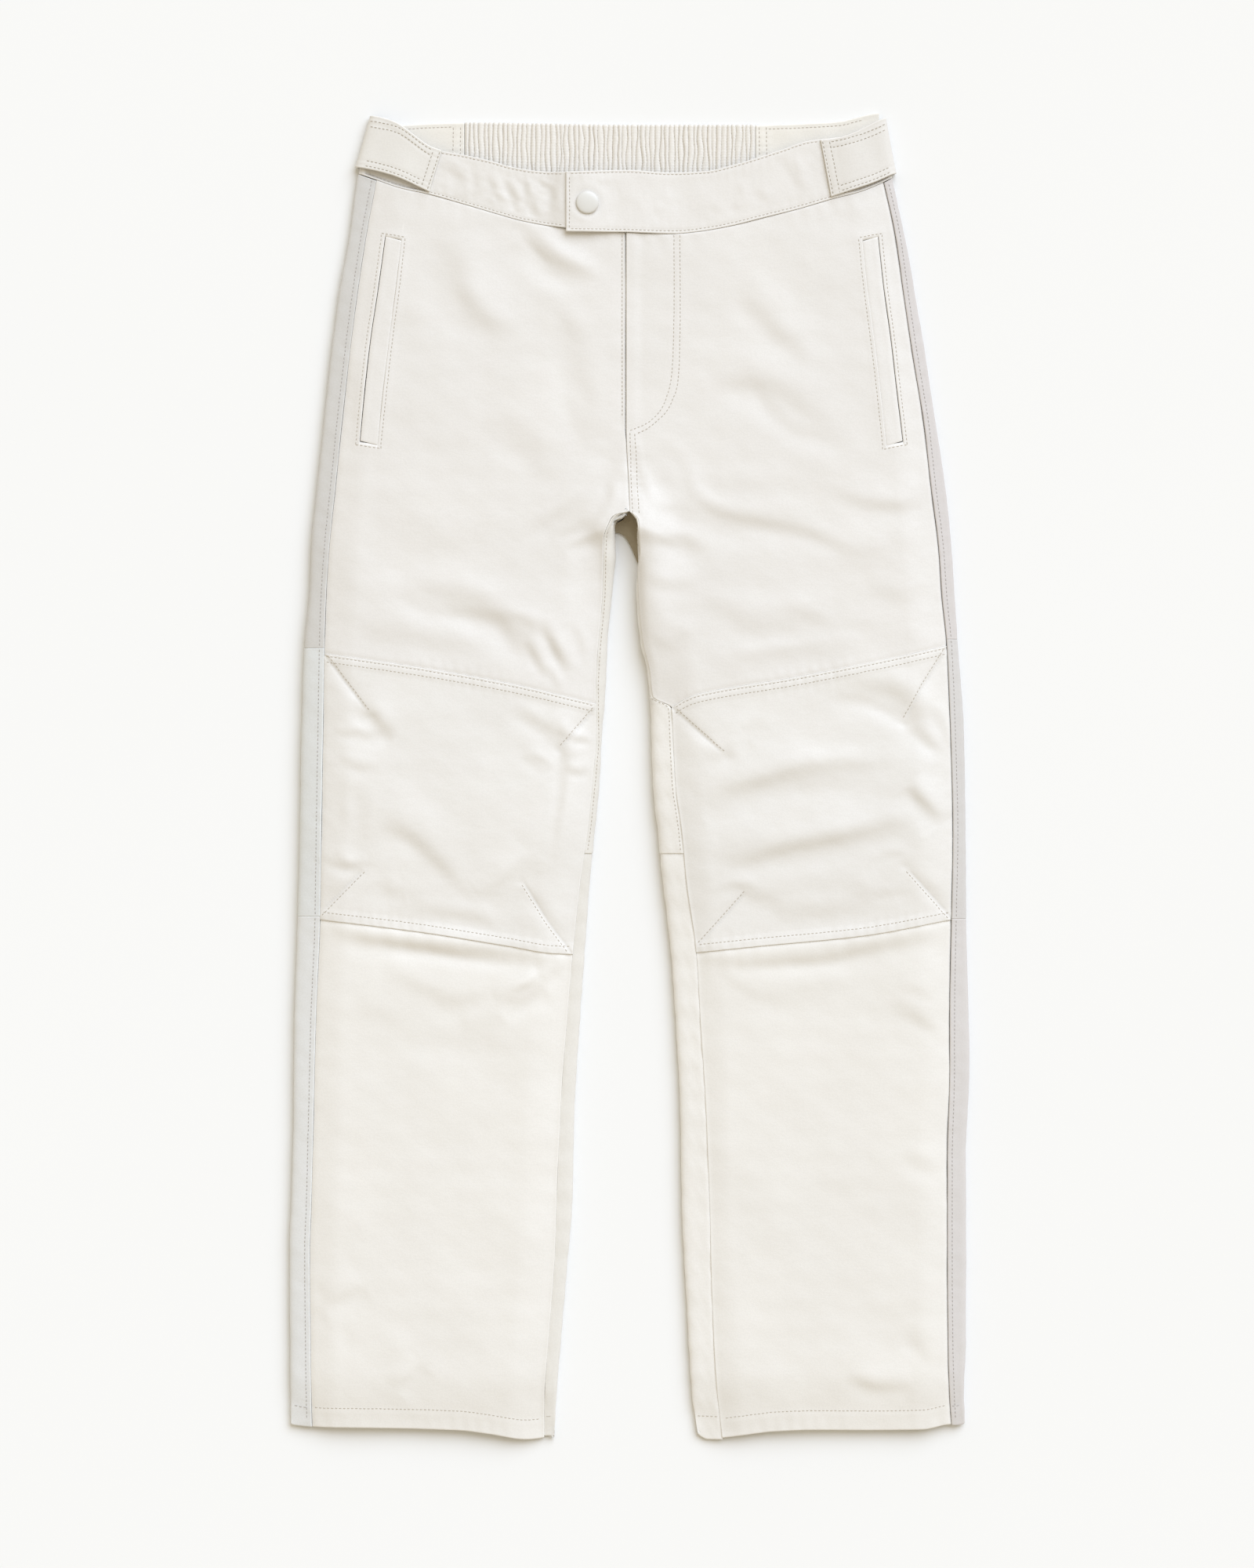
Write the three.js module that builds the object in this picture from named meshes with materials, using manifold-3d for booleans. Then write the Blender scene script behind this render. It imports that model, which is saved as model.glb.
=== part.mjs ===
// Leather motorcycle trousers laid flat on their back, front side up.
// Units are millimetres. +X is towards the wearer's left, +Y towards the waist, +Z up.
// The origin is at the middle of the underside.
import * as THREE from 'three'
import Module from 'manifold-3d'

// ---------------------------------------------------------------- sizes
const LEATHER = 1.6
const BAND = 2.4
const STRAP = 2.0
const WELT = 1.2
const SEAM_GAP = 0.3
const SEAM_DROP = 0.9
const BAND_TUCK = 0.4
const LAY_GAP = 0.3
const STRIPE_FOOT = 16
const BAND_FOOT = 5
const FLY_GAP = 1.8
const FLY_BOTTOM = 290
const FLY_CLOSING = 8
const CROTCH_Y = 222
const BACK_SEAM_Y = -62
const TAB_END = -50.7
const SNAP = { x: -32.8, y: 477.4, radius: 9.4, rise: 2.6, skirt: 0.8, clear: 0.12 }
const ELASTIC = { from: -134.9, to: 106.6, gathers: 61, low: 2.3, high: 3.9 }
const LIGHT_SIDE = [0.6, 0.8]

// The section of a leg: how low the shoulder starts, how far in it climbs, and how tight the under side is.
const SECTION = { edgeDrop: 0.34, shoulder: 42, hipReach: 80, creaseFade: 16, foot: 4.6, apartRoll: 9 }
const NOTHING = 0.01

const CREAM = 0xeeebe4
const CREAM_BAND = 0xefece6
const CREAM_BACK = 0xebe8e1
const GREY_UPPER = 0xd8d5d1
const GREY_LOWER = 0xdddad6
const SNAP_CREAM = 0xe6e3dd
const ELASTIC_CREAM = 0xe7e3db
const SMOOTH = 0.4
const SATIN = 0.55
const MATT = 0.65

// ---------------------------------------------------------------- section tables
// Each leg is written in `a`, the distance out from the middle plane, positive towards its own side seam.
// outer: widest point of the side; stripe: where the front meets the side stripe.
const SIDES = {
  right: [
    { y: 549, outer: 211.0, stripe: 197.0 },
    { y: 522, outer: 218.0, stripe: 203.0 },
    { y: 496, outer: 224.3, stripe: 208.0 },
    { y: 451, outer: 231.4, stripe: 216.5 },
    { y: 399, outer: 241.2, stripe: 224.3 },
    { y: 347, outer: 248.3, stripe: 230.8 },
    { y: 295, outer: 254.2, stripe: 236.6 },
    { y: 243, outer: 260.0, stripe: 241.8 },
    { y: 191, outer: 265.2, stripe: 247.0 },
    { y: 152, outer: 266.8, stripe: 249.6 },
    { y: 113, outer: 271.0, stripe: 250.9 },
    { y: 35, outer: 273.7, stripe: 252.2 },
    { y: -43, outer: 275.0, stripe: 253.5 },
    { y: -121, outer: 276.9, stripe: 254.8 },
    { y: -199, outer: 279.5, stripe: 258.1 },
    { y: -277, outer: 280.2, stripe: 260.0 },
    { y: -355, outer: 282.1, stripe: 262.0 },
    { y: -394, outer: 283.4, stripe: 263.3 },
    { y: -472, outer: 282.8, stripe: 262.6 },
    { y: -549, outer: 282.0, stripe: 261.6 }
  ],
  left: [
    { y: 549, outer: 212.5, stripe: 200.0 },
    { y: 522, outer: 216.5, stripe: 207.0 },
    { y: 496, outer: 220.6, stripe: 213.0 },
    { y: 451, outer: 230.1, stripe: 222.8 },
    { y: 399, outer: 239.2, stripe: 230.1 },
    { y: 347, outer: 247.7, stripe: 237.9 },
    { y: 295, outer: 255.5, stripe: 246.4 },
    { y: 243, outer: 263.3, stripe: 252.2 },
    { y: 191, outer: 268.5, stripe: 258.7 },
    { y: 152, outer: 271.1, stripe: 261.3 },
    { y: 113, outer: 273.7, stripe: 265.2 },
    { y: 35, outer: 278.9, stripe: 268.5 },
    { y: -43, outer: 280.2, stripe: 270.4 },
    { y: -121, outer: 280.8, stripe: 269.1 },
    { y: -199, outer: 282.8, stripe: 267.8 },
    { y: -238, outer: 283.4, stripe: 267.8 },
    { y: -316, outer: 280.4, stripe: 265.9 },
    { y: -394, outer: 280.8, stripe: 265.9 },
    { y: -472, outer: 280.2, stripe: 266.5 },
    { y: -511, outer: 278.9, stripe: 267.8 },
    { y: -549, outer: 279.6, stripe: 270.6 }
  ]
}

// inner: widest point of the inner side, or the middle seam above the crotch;
// seam: where the front panel meets the back panel that wraps up round the inner leg.
const INSIDES = {
  right: [
    { y: 549, inner: 0.6, seam: 0.6 },
    { y: 290, inner: 0.6, seam: 0.6 },
    { y: 226, inner: -1.9, seam: -1.9 },
    { y: 222, inner: -1.9, seam: -1.9 },
    { y: 219.5, inner: -1.8, seam: 8.5 },
    { y: 216, inner: -0.8, seam: 13.0 },
    { y: 211, inner: 6.8, seam: 15.4 },
    { y: 200, inner: 7.8, seam: 19.2 },
    { y: 180, inner: 9.6, seam: 19.7 },
    { y: 152, inner: 12.4, seam: 20.4 },
    { y: 113, inner: 16.1, seam: 23.8 },
    { y: 76, inner: 17.6, seam: 25.9 },
    { y: 35, inner: 20.9, seam: 25.6 },
    { y: -4, inner: 22.8, seam: 28.6 },
    { y: -43, inner: 26.7, seam: 32.5 },
    { y: -82, inner: 30.6, seam: 38.2 },
    { y: -144, inner: 35.1, seam: 44.9 },
    { y: -199, inner: 39.0, seam: 49.6 },
    { y: -277, inner: 43.6, seam: 55.3 },
    { y: -355, inner: 45.5, seam: 58.5 },
    { y: -394, inner: 48.8, seam: 59.8 },
    { y: -472, inner: 55.3, seam: 65.7 },
    { y: -511, inner: 58.5, seam: 68.2 },
    { y: -549, inner: 60.5, seam: 68.8 }
  ],
  left: [
    { y: 549, inner: -0.6, seam: -0.6 },
    { y: 290, inner: -0.6, seam: -0.6 },
    { y: 226, inner: 1.9, seam: 1.9 },
    { y: 222, inner: 1.9, seam: 1.9 },
    { y: 219.5, inner: 2.0, seam: 5.6 },
    { y: 214, inner: 2.6, seam: 9.4 },
    { y: 197, inner: 4.4, seam: 10.3 },
    { y: 188, inner: 5.2, seam: 10.9 },
    { y: 173, inner: 7.1, seam: 8.9 },
    { y: 152, inner: 7.6, seam: 9.4 },
    { y: 113, inner: 11.2, seam: 13.2 },
    { y: 90, inner: 16.6, seam: 18.6 },
    { y: 68, inner: 18.8, seam: 21.4 },
    { y: 59, inner: 19.4, seam: 36.8 },
    { y: 35, inner: 20.2, seam: 37.8 },
    { y: -4, inner: 21.5, seam: 39.8 },
    { y: -43, inner: 25.4, seam: 45.2 },
    { y: -82, inner: 29.3, seam: 48.8 },
    { y: -144, inner: 36.4, seam: 57.2 },
    { y: -199, inner: 40.3, seam: 60.5 },
    { y: -277, inner: 44.2, seam: 65.4 },
    { y: -355, inner: 45.5, seam: 68.3 },
    { y: -433, inner: 49.4, seam: 70.4 },
    { y: -511, inner: 54.0, seam: 74.8 },
    { y: -549, inner: 59.6, seam: 79.2 }
  ]
}

// crown: height of the top layer in the middle of the panel; waist: height of the widest point of a side;
// roll: how far in the side keeps rounding over; split: 0 where the legs are joined, 1 where they are apart.
const HEIGHTS = [
  { y: 549, crown: 11.6, waist: 4.8, roll: 8, split: 0 },
  { y: 500, crown: 11.9, waist: 5.0, roll: 9, split: 0 },
  { y: 440, crown: 13.2, waist: 5.0, roll: 11, split: 0 },
  { y: 330, crown: 15.0, waist: 5.2, roll: 13, split: 0 },
  { y: 222, crown: 17.0, waist: 5.4, roll: 14, split: 0 },
  { y: 212, crown: 17.2, waist: 5.4, roll: 14, split: 0.5 },
  { y: 190, crown: 17.8, waist: 5.4, roll: 14, split: 1 },
  { y: 90, crown: 19.5, waist: 5.4, roll: 13, split: 1 },
  { y: -40, crown: 20.0, waist: 5.4, roll: 13, split: 1 },
  { y: -150, crown: 17.0, waist: 5.2, roll: 12, split: 1 },
  { y: -300, crown: 16.5, waist: 5.0, roll: 11, split: 1 },
  { y: -480, crown: 15.4, waist: 4.8, roll: 10, split: 1 },
  { y: -549, crown: 15.0, waist: 4.8, roll: 10, split: 1 }
]

// Seam and edge lines across the cloth, as x and y along each line.
const BAND_LOW = [
  [-223, 502.2], [-210, 497.6], [-188, 489.8], [-164, 484.6], [-140, 477.8], [-108, 468.3], [-84, 461.8],
  [-50, 456.4], [0, 452.9], [39, 451.8], [58, 453.4], [84, 457.9], [113, 465.1], [144, 472.9], [170, 480.7],
  [192, 486.4], [214, 495.6], [221, 499.4]
]
const BAND_TOP = [
  [-223, 548.0], [-212, 546.3], [-192, 541.8], [-161, 522.3], [-135, 517.4], [-115, 512.9], [-93, 507.0],
  [-74, 504.1], [-53, 503.1], [0, 504.6], [35, 502.8], [66, 504.1], [84, 508.0], [107, 514.8], [129, 522.0],
  [151, 529.1], [170, 531.4], [191, 534.6], [205, 539.8], [214, 545.0], [221, 546.4]
]
const BACK_BAND_TOP = [
  [-223, 547.4], [-205, 545.0], [-190, 541.6], [-161, 543.0], [-135, 543.7], [0, 541.8], [107, 541.8],
  [156, 543.4], [180, 543.6], [194, 545.6], [211, 549.4], [221, 549.2]
]
const BACK_BAND_LOW = [
  [-223, 502.2], [-214.7, 499.3], [-190, 495.0], [0, 493.5], [190, 493.8], [211, 494.5], [221, 499.4]
]
const KNEE_TOP = {
  right: [[-252, 104.0], [-170, 92.0], [-100, 79.5], [-26, 62.4]],
  left: [[37, 58.8], [48, 66.0], [60, 70.5], [136, 83.6], [214, 98.8], [266, 110.5]]
}
const KNEE_LOW = {
  right: [[-255, -116.7], [-176, -126.4], [-98, -138.8], [-62, -144.8], [-45, -145.6]],
  left: [[57, -144.2], [109, -138.8], [195, -130.3], [270, -116.7]]
}
const HEM = {
  right: [[-283, -530.2], [-279.5, -535.0], [-262, -537.9], [-207, -538.6], [-140, -540.5], [-114, -543.7],
    [-83, -548.3], [-60, -545.7]],
  left: [[59, -548.6], [78, -547.1], [94, -545.0], [122, -541.5], [155, -540.2], [205, -540.5], [246, -539.8],
    [268.6, -535.9], [271, -536.8], [280, -534.4]]
}
const KNEE_CORNER = { right: 62, left: 58.6 }
const STRIPE_SEAMS = { right: [108.5, -114.0], left: [115.8, -116.0] }

// Pocket windows: the outer and inner edge at each height; ends are the heights of the slanted end seams.
const POCKETS = {
  right: {
    rows: [
      { y: 450, out: 200.7, in: 186.6 },
      { y: 406, out: 206.7, in: 191.6 },
      { y: 364, out: 213.0, in: 197.2 },
      { y: 325, out: 217.4, in: 201.6 },
      { y: 277, out: 222.0, in: 206.7 }
    ],
    ends: { outTop: 449.7, inTop: 446.4, outLow: 280.1, inLow: 276.6 }
  },
  left: {
    rows: [
      { y: 450, out: 208.7, in: 194.8 },
      { y: 406, out: 213.4, in: 199.4 },
      { y: 364, out: 219.2, in: 204.9 },
      { y: 325, out: 223.6, in: 209.6 },
      { y: 277, out: 229.4, in: 214.8 }
    ],
    ends: { outTop: 449.7, inTop: 445.9, outLow: 280.1, inLow: 275.9 }
  }
}
const MOUTH = 1.6
const WELT_GAP = 0.5
const WELT_SINK = 0.3

// Side adjuster straps: top edge, low edge, and how far out the sewn front end is at its top and low corner.
const STRAPS = {
  right: {
    top: [[-217, 549.0], [-192.4, 543.7], [-161.2, 523.6], [-153.4, 521.0]],
    low: [[-226.2, 507.3], [-219, 506.4], [-194.4, 500.2], [-163.8, 486.5]],
    end: [153.4, 163.8]
  },
  left: {
    top: [[159.9, 529.6], [169.7, 530.6], [191.1, 535.9], [204.8, 541.1], [218, 547.4]],
    low: [[168.8, 482.3], [188.5, 488.8], [204.8, 494.6], [220.4, 502.1], [224, 505.2]],
    end: [160.4, 169.2]
  }
}
const STRAP_BOW = 1.6
const BOW_TO = 0.75
const BAND_PROUD = 0.4

// Folds: a line through three points, its width and its height. The side towards the light rises, the other
// side dips by the same amount. A negative height with pit: true is a plain dip along the line.
const FOLDS = [
  { at: [-153, 450, -134, 394, -97, 362], wide: 15, high: 1.5 },
  { at: [-84, 452, -60, 427, -28, 413], wide: 9, high: 1.7 },
  { at: [-51, 375, -36, 320, -34, 282], wide: 11, high: 1.0 },
  { at: [-8, 258, -30, 226, -60, 198], wide: 14, high: 1.5 },
  { at: [93, 412, 121, 375, 153, 347], wide: 12, high: 1.2 },
  { at: [65, 330, 112, 328, 190, 273], wide: 12, high: 1.4 },
  { at: [28, 273, 52, 222, 125, 212, 195, 185], wide: 12, high: 1.9 },
  { at: [176, 232, 212, 226, 246, 229], wide: 8, high: 1.0 },
  { at: [23, 199, 45, 196, 70, 190], wide: 8, high: 0.9 },
  { at: [60, 147, 110, 128, 172, 132], wide: 11, high: 1.3 },
  { at: [-186, 158, -135, 148, -93, 126, -70, 97], wide: 12, high: 1.9 },
  { at: [-70, 134, -58, 108, -46, 88], wide: 5, high: 1.4 },
  { at: [-224, 68, -207, 48, -190, 37], wide: 9, high: 1.4 },
  { at: [-70, 46, -50, 26, -65, -70], wide: 8, high: 1.5 },
  { at: [-209, -33, -176, -47, -139, -89], wide: 12, high: 1.3 },
  { at: [-121, -102, -100, -88, -79, -61], wide: 12, high: 1.1 },
  { at: [171, 78, 223, 69, 260, 22], wide: 11, high: 2.0 },
  { at: [60, -24, 125, 0, 209, 4], wide: 12, high: 2.0 },
  { at: [79, -66, 149, -56, 241, -37], wide: 11, high: 1.9 },
  { at: [232, -5, 246, -20, 260, -38], wide: 8, high: 1.4 },
  { at: [-246, -130, -153, -140, -60, -149], wide: 7, high: 1.8 },
  { at: [60, -152, 172, -145, 264, -126], wide: 9, high: 1.5 },
  { at: [-69, -170, -88, -180, -106, -189], wide: 8, high: 1.6 },
  { at: [-206, -167, -155, -185, -132, -186], wide: 12, high: 0.9 },
  { at: [-251, -435, -232, -428, -218, -420], wide: 10, high: 1.0 },
  { at: [-170, -484, -182, -496, -192, -506], wide: 9, high: 0.9 },
  { at: [181, -495, 205, -503, 237, -503], wide: 9, high: 1.0 },
  { at: [-251, 104, -230, 76, -214, 55], wide: 5, high: -1.3, pit: true },
  { at: [-27, 58, -42, 42, -55, 26], wide: 5, high: -1.3, pit: true },
  { at: [-254, -111, -234, -92, -218, -75], wide: 5, high: -1.3, pit: true },
  { at: [-46, -144, -70, -112, -85, -88], wide: 5, high: -1.3, pit: true },
  { at: [38, 58, 60, 38, 80, 21], wide: 5, high: -1.3, pit: true },
  { at: [265, 108, 246, 78, 230, 49], wide: 5, high: -1.3, pit: true },
  { at: [60, -137, 80, -114, 99, -93], wide: 5, high: -1.3, pit: true },
  { at: [269, -116, 250, -94, 232, -75], wide: 5, high: -1.3, pit: true }
]

// Bumps: a rounded rise, as centre, reach along x and y, and height.
const BUMPS = [
  { x: -150, y: -20, across: 80, along: 85, high: 3.0 },
  { x: 160, y: -20, across: 80, along: 85, high: 3.0 },
  { x: -130, y: 330, across: 70, along: 90, high: 1.2 },
  { x: 135, y: 300, across: 70, along: 90, high: 1.2 }
]

// ---------------------------------------------------------------- small maths
const clamp = (v, lo, hi) => Math.min(hi, Math.max(lo, v))
const mix = (a, b, t) => a + (b - a) * t
const ease = (t) => {
  const c = clamp(t, 0, 1)
  return c * c * (3 - 2 * c)
}
const quarter = (rx, rz) => (Math.PI / 2) * Math.sqrt((rx * rx + rz * rz) / 2)

// A smooth curve through rows of a table, never overshooting them. Rows may run either way.
function curve(rows, keyOf, valueOf) {
  const pts = rows.map((row) => [keyOf(row), valueOf(row)]).sort((p, q) => p[0] - q[0])
  const n = pts.length
  const slopes = []
  for (let i = 0; i < n - 1; i += 1) {
    slopes.push((pts[i + 1][1] - pts[i][1]) / (pts[i + 1][0] - pts[i][0]))
  }
  const tangents = [slopes[0]]
  for (let i = 1; i < n - 1; i += 1) {
    const a = slopes[i - 1]
    const b = slopes[i]
    tangents.push(a * b <= 0 ? 0 : (2 * a * b) / (a + b))
  }
  tangents.push(slopes[n - 2])
  return (key) => {
    if (key <= pts[0][0]) return pts[0][1]
    if (key >= pts[n - 1][0]) return pts[n - 1][1]
    let i = 0
    while (key > pts[i + 1][0]) i += 1
    const h = pts[i + 1][0] - pts[i][0]
    const t = (key - pts[i][0]) / h
    const t2 = t * t
    const t3 = t2 * t
    return (2 * t3 - 3 * t2 + 1) * pts[i][1] + (t3 - 2 * t2 + t) * h * tangents[i] +
      (3 * t2 - 2 * t3) * pts[i + 1][1] + (t3 - t2) * h * tangents[i + 1]
  }
}
const column = (rows, name) => curve(rows, (row) => row.y, (row) => row[name])
const line = (points) => curve(points, (p) => p[0], (p) => p[1])

// ---------------------------------------------------------------- the folded surface
const crownAt = column(HEIGHTS, 'crown')
const waistAt = column(HEIGHTS, 'waist')
const rollAt = column(HEIGHTS, 'roll')
const splitAt = column(HEIGHTS, 'split')

const FOLD_STEPS = 12
const FOLD_REACH = 3
const FOLD_TAPER = 0.8
const foldPaths = FOLDS.map((fold) => {
  const knots = []
  for (let i = 0; i < fold.at.length; i += 2) knots.push(new THREE.Vector3(fold.at[i], fold.at[i + 1], 0))
  const path = new THREE.CatmullRomCurve3(knots).getPoints(FOLD_STEPS)
  const reach = fold.wide * FOLD_REACH
  const xs = path.map((p) => p.x)
  const ys = path.map((p) => p.y)
  const last = path[path.length - 1]
  const lit = Math.sign(LIGHT_SIDE[0] * -(last.y - path[0].y) + LIGHT_SIDE[1] * (last.x - path[0].x))
  return {
    ...fold,
    lit,
    path,
    box: [Math.min(...xs) - reach, Math.max(...xs) + reach, Math.min(...ys) - reach, Math.max(...ys) + reach]
  }
})

function foldHeight(fold, x, y) {
  const [x0, x1, y0, y1] = fold.box
  if (x < x0 || x > x1 || y < y0 || y > y1) return 0
  let best = Infinity
  let along = 0
  let side = 0
  for (let i = 0; i < fold.path.length - 1; i += 1) {
    const p = fold.path[i]
    const q = fold.path[i + 1]
    const dx = q.x - p.x
    const dy = q.y - p.y
    const t = clamp(((x - p.x) * dx + (y - p.y) * dy) / (dx * dx + dy * dy), 0, 1)
    const ex = x - p.x - t * dx
    const ey = y - p.y - t * dy
    const far = Math.hypot(ex, ey)
    if (far < best) {
      best = far
      along = (i + t) / (fold.path.length - 1)
      side = fold.lit * Math.sign(ex * -dy + ey * dx)
    }
  }
  const taper = Math.sin(Math.PI * clamp(along, 0, 1)) ** FOLD_TAPER
  const d = best / fold.wide
  if (fold.pit) return fold.high * taper * Math.exp(-d * d)
  return side * fold.high * taper * d * Math.exp(0.5 - 0.5 * d * d)
}

function creases(x, y) {
  let total = 0
  for (const fold of foldPaths) total += foldHeight(fold, x, y)
  for (const bump of BUMPS) {
    const u = (x - bump.x) / bump.across
    const v = (y - bump.y) / bump.along
    total += bump.high * Math.exp(-u * u - v * v)
  }
  return total
}

// One leg as a flattened tube, continued up to the waist as one half of the hips.
// q runs round it: 0 at the outer side, up over the front to the inner side, then down and back over
// the floor; below 0 it runs down the outer side on to the floor.
function makeLeg(name) {
  const sign = name === 'right' ? -1 : 1
  const outerAt = column(SIDES[name], 'outer')
  const stripeAt = column(SIDES[name], 'stripe')
  const innerAt = column(INSIDES[name], 'inner')
  const seamAt = column(INSIDES[name], 'seam')

  const topAt = (a, y) => {
    const fromOuter = outerAt(y) - a
    const fromInner = a - innerAt(y) + (1 - splitAt(y)) * SECTION.hipReach
    const shape = ease(fromOuter / SECTION.shoulder) * ease(fromInner / SECTION.shoulder)
    const fade = ease(fromOuter / SECTION.creaseFade) * ease(fromInner / SECTION.creaseFade)
    const height = crownAt(y) * (1 - SECTION.edgeDrop + SECTION.edgeDrop * shape)
    return height + creases(sign * a, y) * fade
  }

  const frameAt = (y) => {
    const outer = outerAt(y)
    const inner = innerAt(y)
    const split = splitAt(y)
    const low = waistAt(y)
    const roll = rollAt(y)
    const innerRoll = Math.max(NOTHING, SECTION.apartRoll * split)
    const foot = SECTION.foot
    const innerFoot = Math.max(NOTHING, foot * split)
    const edge = crownAt(y) * (1 - SECTION.edgeDrop) - low
    const arc = quarter(roll, edge)
    const innerArc = quarter(innerRoll, edge)
    const under = quarter(foot, low)
    const innerUnder = quarter(innerFoot, low)
    const flat = outer - inner - roll - innerRoll
    return {
      outer, inner, low, roll, innerRoll, foot, innerFoot, arc, innerArc, under, innerUnder, flat,
      top: arc + flat + innerArc,
      round: arc + flat + innerArc + innerUnder
    }
  }

  const point = (y, q) => {
    const f = frameAt(y)
    let a = 0
    let z = 0
    if (q < -f.under) {
      a = f.outer - f.foot + q + f.under
      z = 0
    } else if (q < 0) {
      const t = (-q / f.under) * (Math.PI / 2)
      a = f.outer - f.foot * (1 - Math.cos(t))
      z = f.low * (1 - Math.sin(t))
    } else if (q < f.arc) {
      const t = (q / f.arc) * (Math.PI / 2)
      a = f.outer - f.roll * (1 - Math.cos(t))
      z = f.low + (topAt(a, y) - f.low) * Math.sin(t)
    } else if (q <= f.arc + f.flat) {
      a = f.outer - f.roll - (q - f.arc)
      z = topAt(a, y)
    } else if (q < f.top) {
      const t = ((f.top - q) / f.innerArc) * (Math.PI / 2)
      a = f.inner + f.innerRoll * (1 - Math.cos(t))
      z = f.low + (topAt(a, y) - f.low) * Math.sin(t)
    } else if (q < f.round) {
      const t = ((q - f.top) / f.innerUnder) * (Math.PI / 2)
      a = f.inner + f.innerFoot * (1 - Math.cos(t))
      z = f.low * (1 - Math.sin(t))
    } else {
      a = f.inner + f.innerFoot + (q - f.round)
      z = 0
    }
    return new THREE.Vector3(sign * a, y, z)
  }

  // q of a place on the front, and of a place on the floor, from its distance out.
  const onFront = (y, a) => {
    const f = frameAt(y)
    const fromOuter = f.outer - a
    const fromInner = a - f.inner
    if (fromOuter < f.roll) return f.arc * Math.acos(clamp(1 - fromOuter / f.roll, 0, 1)) / (Math.PI / 2)
    if (fromInner < f.innerRoll) {
      return f.top - f.innerArc * Math.acos(clamp(1 - fromInner / f.innerRoll, 0, 1)) / (Math.PI / 2)
    }
    return f.arc + fromOuter - f.roll
  }
  const onFloor = (y, a) => {
    const f = frameAt(y)
    return f.round + a - f.inner - f.innerFoot
  }
  return { name, sign, outerAt, stripeAt, innerAt, seamAt, frameAt, point, onFront, onFloor, topAt }
}
const LEGS = { right: makeLeg('right'), left: makeLeg('left') }

// ---------------------------------------------------------------- solids
const wasm = await Module()
wasm.setup()
const { Manifold, Mesh } = wasm
const group = new THREE.Group()
group.name = 'leather_trousers'

function addMesh(name, geometry, color, roughness) {
  const material = new THREE.MeshStandardMaterial({ color, roughness, metalness: 0 })
  const mesh = new THREE.Mesh(geometry, material)
  mesh.name = name
  group.add(mesh)
}

// Closes a grid of outer points and a grid of inner points into one solid wall.
function closeWall(outerGrid, innerGrid) {
  const rows = outerGrid.length
  const cols = outerGrid[0].length
  const positions = []
  for (const grid of [outerGrid, innerGrid]) {
    for (const row of grid) {
      for (const p of row) positions.push(p.x, p.y, p.z)
    }
  }
  const at = (layer, i, j) => layer * rows * cols + i * cols + j
  const index = []
  const quad = (a, b, c, d) => index.push(a, b, c, a, c, d)
  for (let i = 0; i < rows - 1; i += 1) {
    for (let j = 0; j < cols - 1; j += 1) {
      quad(at(0, i, j), at(0, i + 1, j), at(0, i + 1, j + 1), at(0, i, j + 1))
      quad(at(1, i, j), at(1, i, j + 1), at(1, i + 1, j + 1), at(1, i + 1, j))
    }
  }
  for (let i = 0; i < rows - 1; i += 1) {
    quad(at(0, i, 0), at(1, i, 0), at(1, i + 1, 0), at(0, i + 1, 0))
    quad(at(0, i, cols - 1), at(0, i + 1, cols - 1), at(1, i + 1, cols - 1), at(1, i, cols - 1))
  }
  for (let j = 0; j < cols - 1; j += 1) {
    quad(at(0, 0, j), at(0, 0, j + 1), at(1, 0, j + 1), at(1, 0, j))
    quad(at(0, rows - 1, j), at(1, rows - 1, j), at(1, rows - 1, j + 1), at(0, rows - 1, j + 1))
  }
  const geometry = new THREE.BufferGeometry()
  geometry.setAttribute('position', new THREE.Float32BufferAttribute(positions, 3))
  geometry.setIndex(index)
  if (signedVolume(geometry) < 0) flip(geometry)
  return geometry
}

function signedVolume(geometry) {
  const p = geometry.getAttribute('position')
  const index = geometry.getIndex().array
  const a = new THREE.Vector3()
  const b = new THREE.Vector3()
  const c = new THREE.Vector3()
  let total = 0
  for (let i = 0; i < index.length; i += 3) {
    a.fromBufferAttribute(p, index[i])
    b.fromBufferAttribute(p, index[i + 1])
    c.fromBufferAttribute(p, index[i + 2])
    total += a.dot(b.cross(c)) / 6
  }
  return total
}

function flip(geometry) {
  const index = geometry.getIndex().array
  for (let i = 0; i < index.length; i += 3) {
    const held = index[i + 1]
    index[i + 1] = index[i + 2]
    index[i + 2] = held
  }
}

// A panel cut from a leg's surface, with its wall inside it. span(y, u) gives q across it; length(u, v) gives
// y along it. NORMAL_STEP is how far apart the points are that its normals are taken from.
const NORMAL_STEP = 0.4
function panelGrids(leg, options) {
  const { rows, cols, span, length, wall } = options
  const step = NORMAL_STEP
  const outerGrid = []
  const innerGrid = []
  for (let i = 0; i <= rows; i += 1) {
    const outerRow = []
    const innerRow = []
    for (let j = 0; j <= cols; j += 1) {
      const u = j / cols
      const v = options.rowsAt ? options.rowsAt[i] : i / rows
      const y = length(u, v)
      const q = span(y, u)
      const here = leg.point(y, q)
      const qa = Math.max(q - step, Math.min(span(y, 0), span(y, 1)))
      const qb = Math.min(q + step, Math.max(span(y, 0), span(y, 1)))
      const across = leg.point(y, qb).sub(leg.point(y, qa))
      const along = leg.point(y + step, q).sub(leg.point(y - step, q))
      const normal = across.cross(along).normalize().multiplyScalar(-leg.sign)
      outerRow.push(here)
      innerRow.push(here.clone().addScaledVector(normal, -wall))
    }
    outerGrid.push(outerRow)
    innerGrid.push(innerRow)
  }
  return { outerGrid, innerGrid }
}

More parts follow.
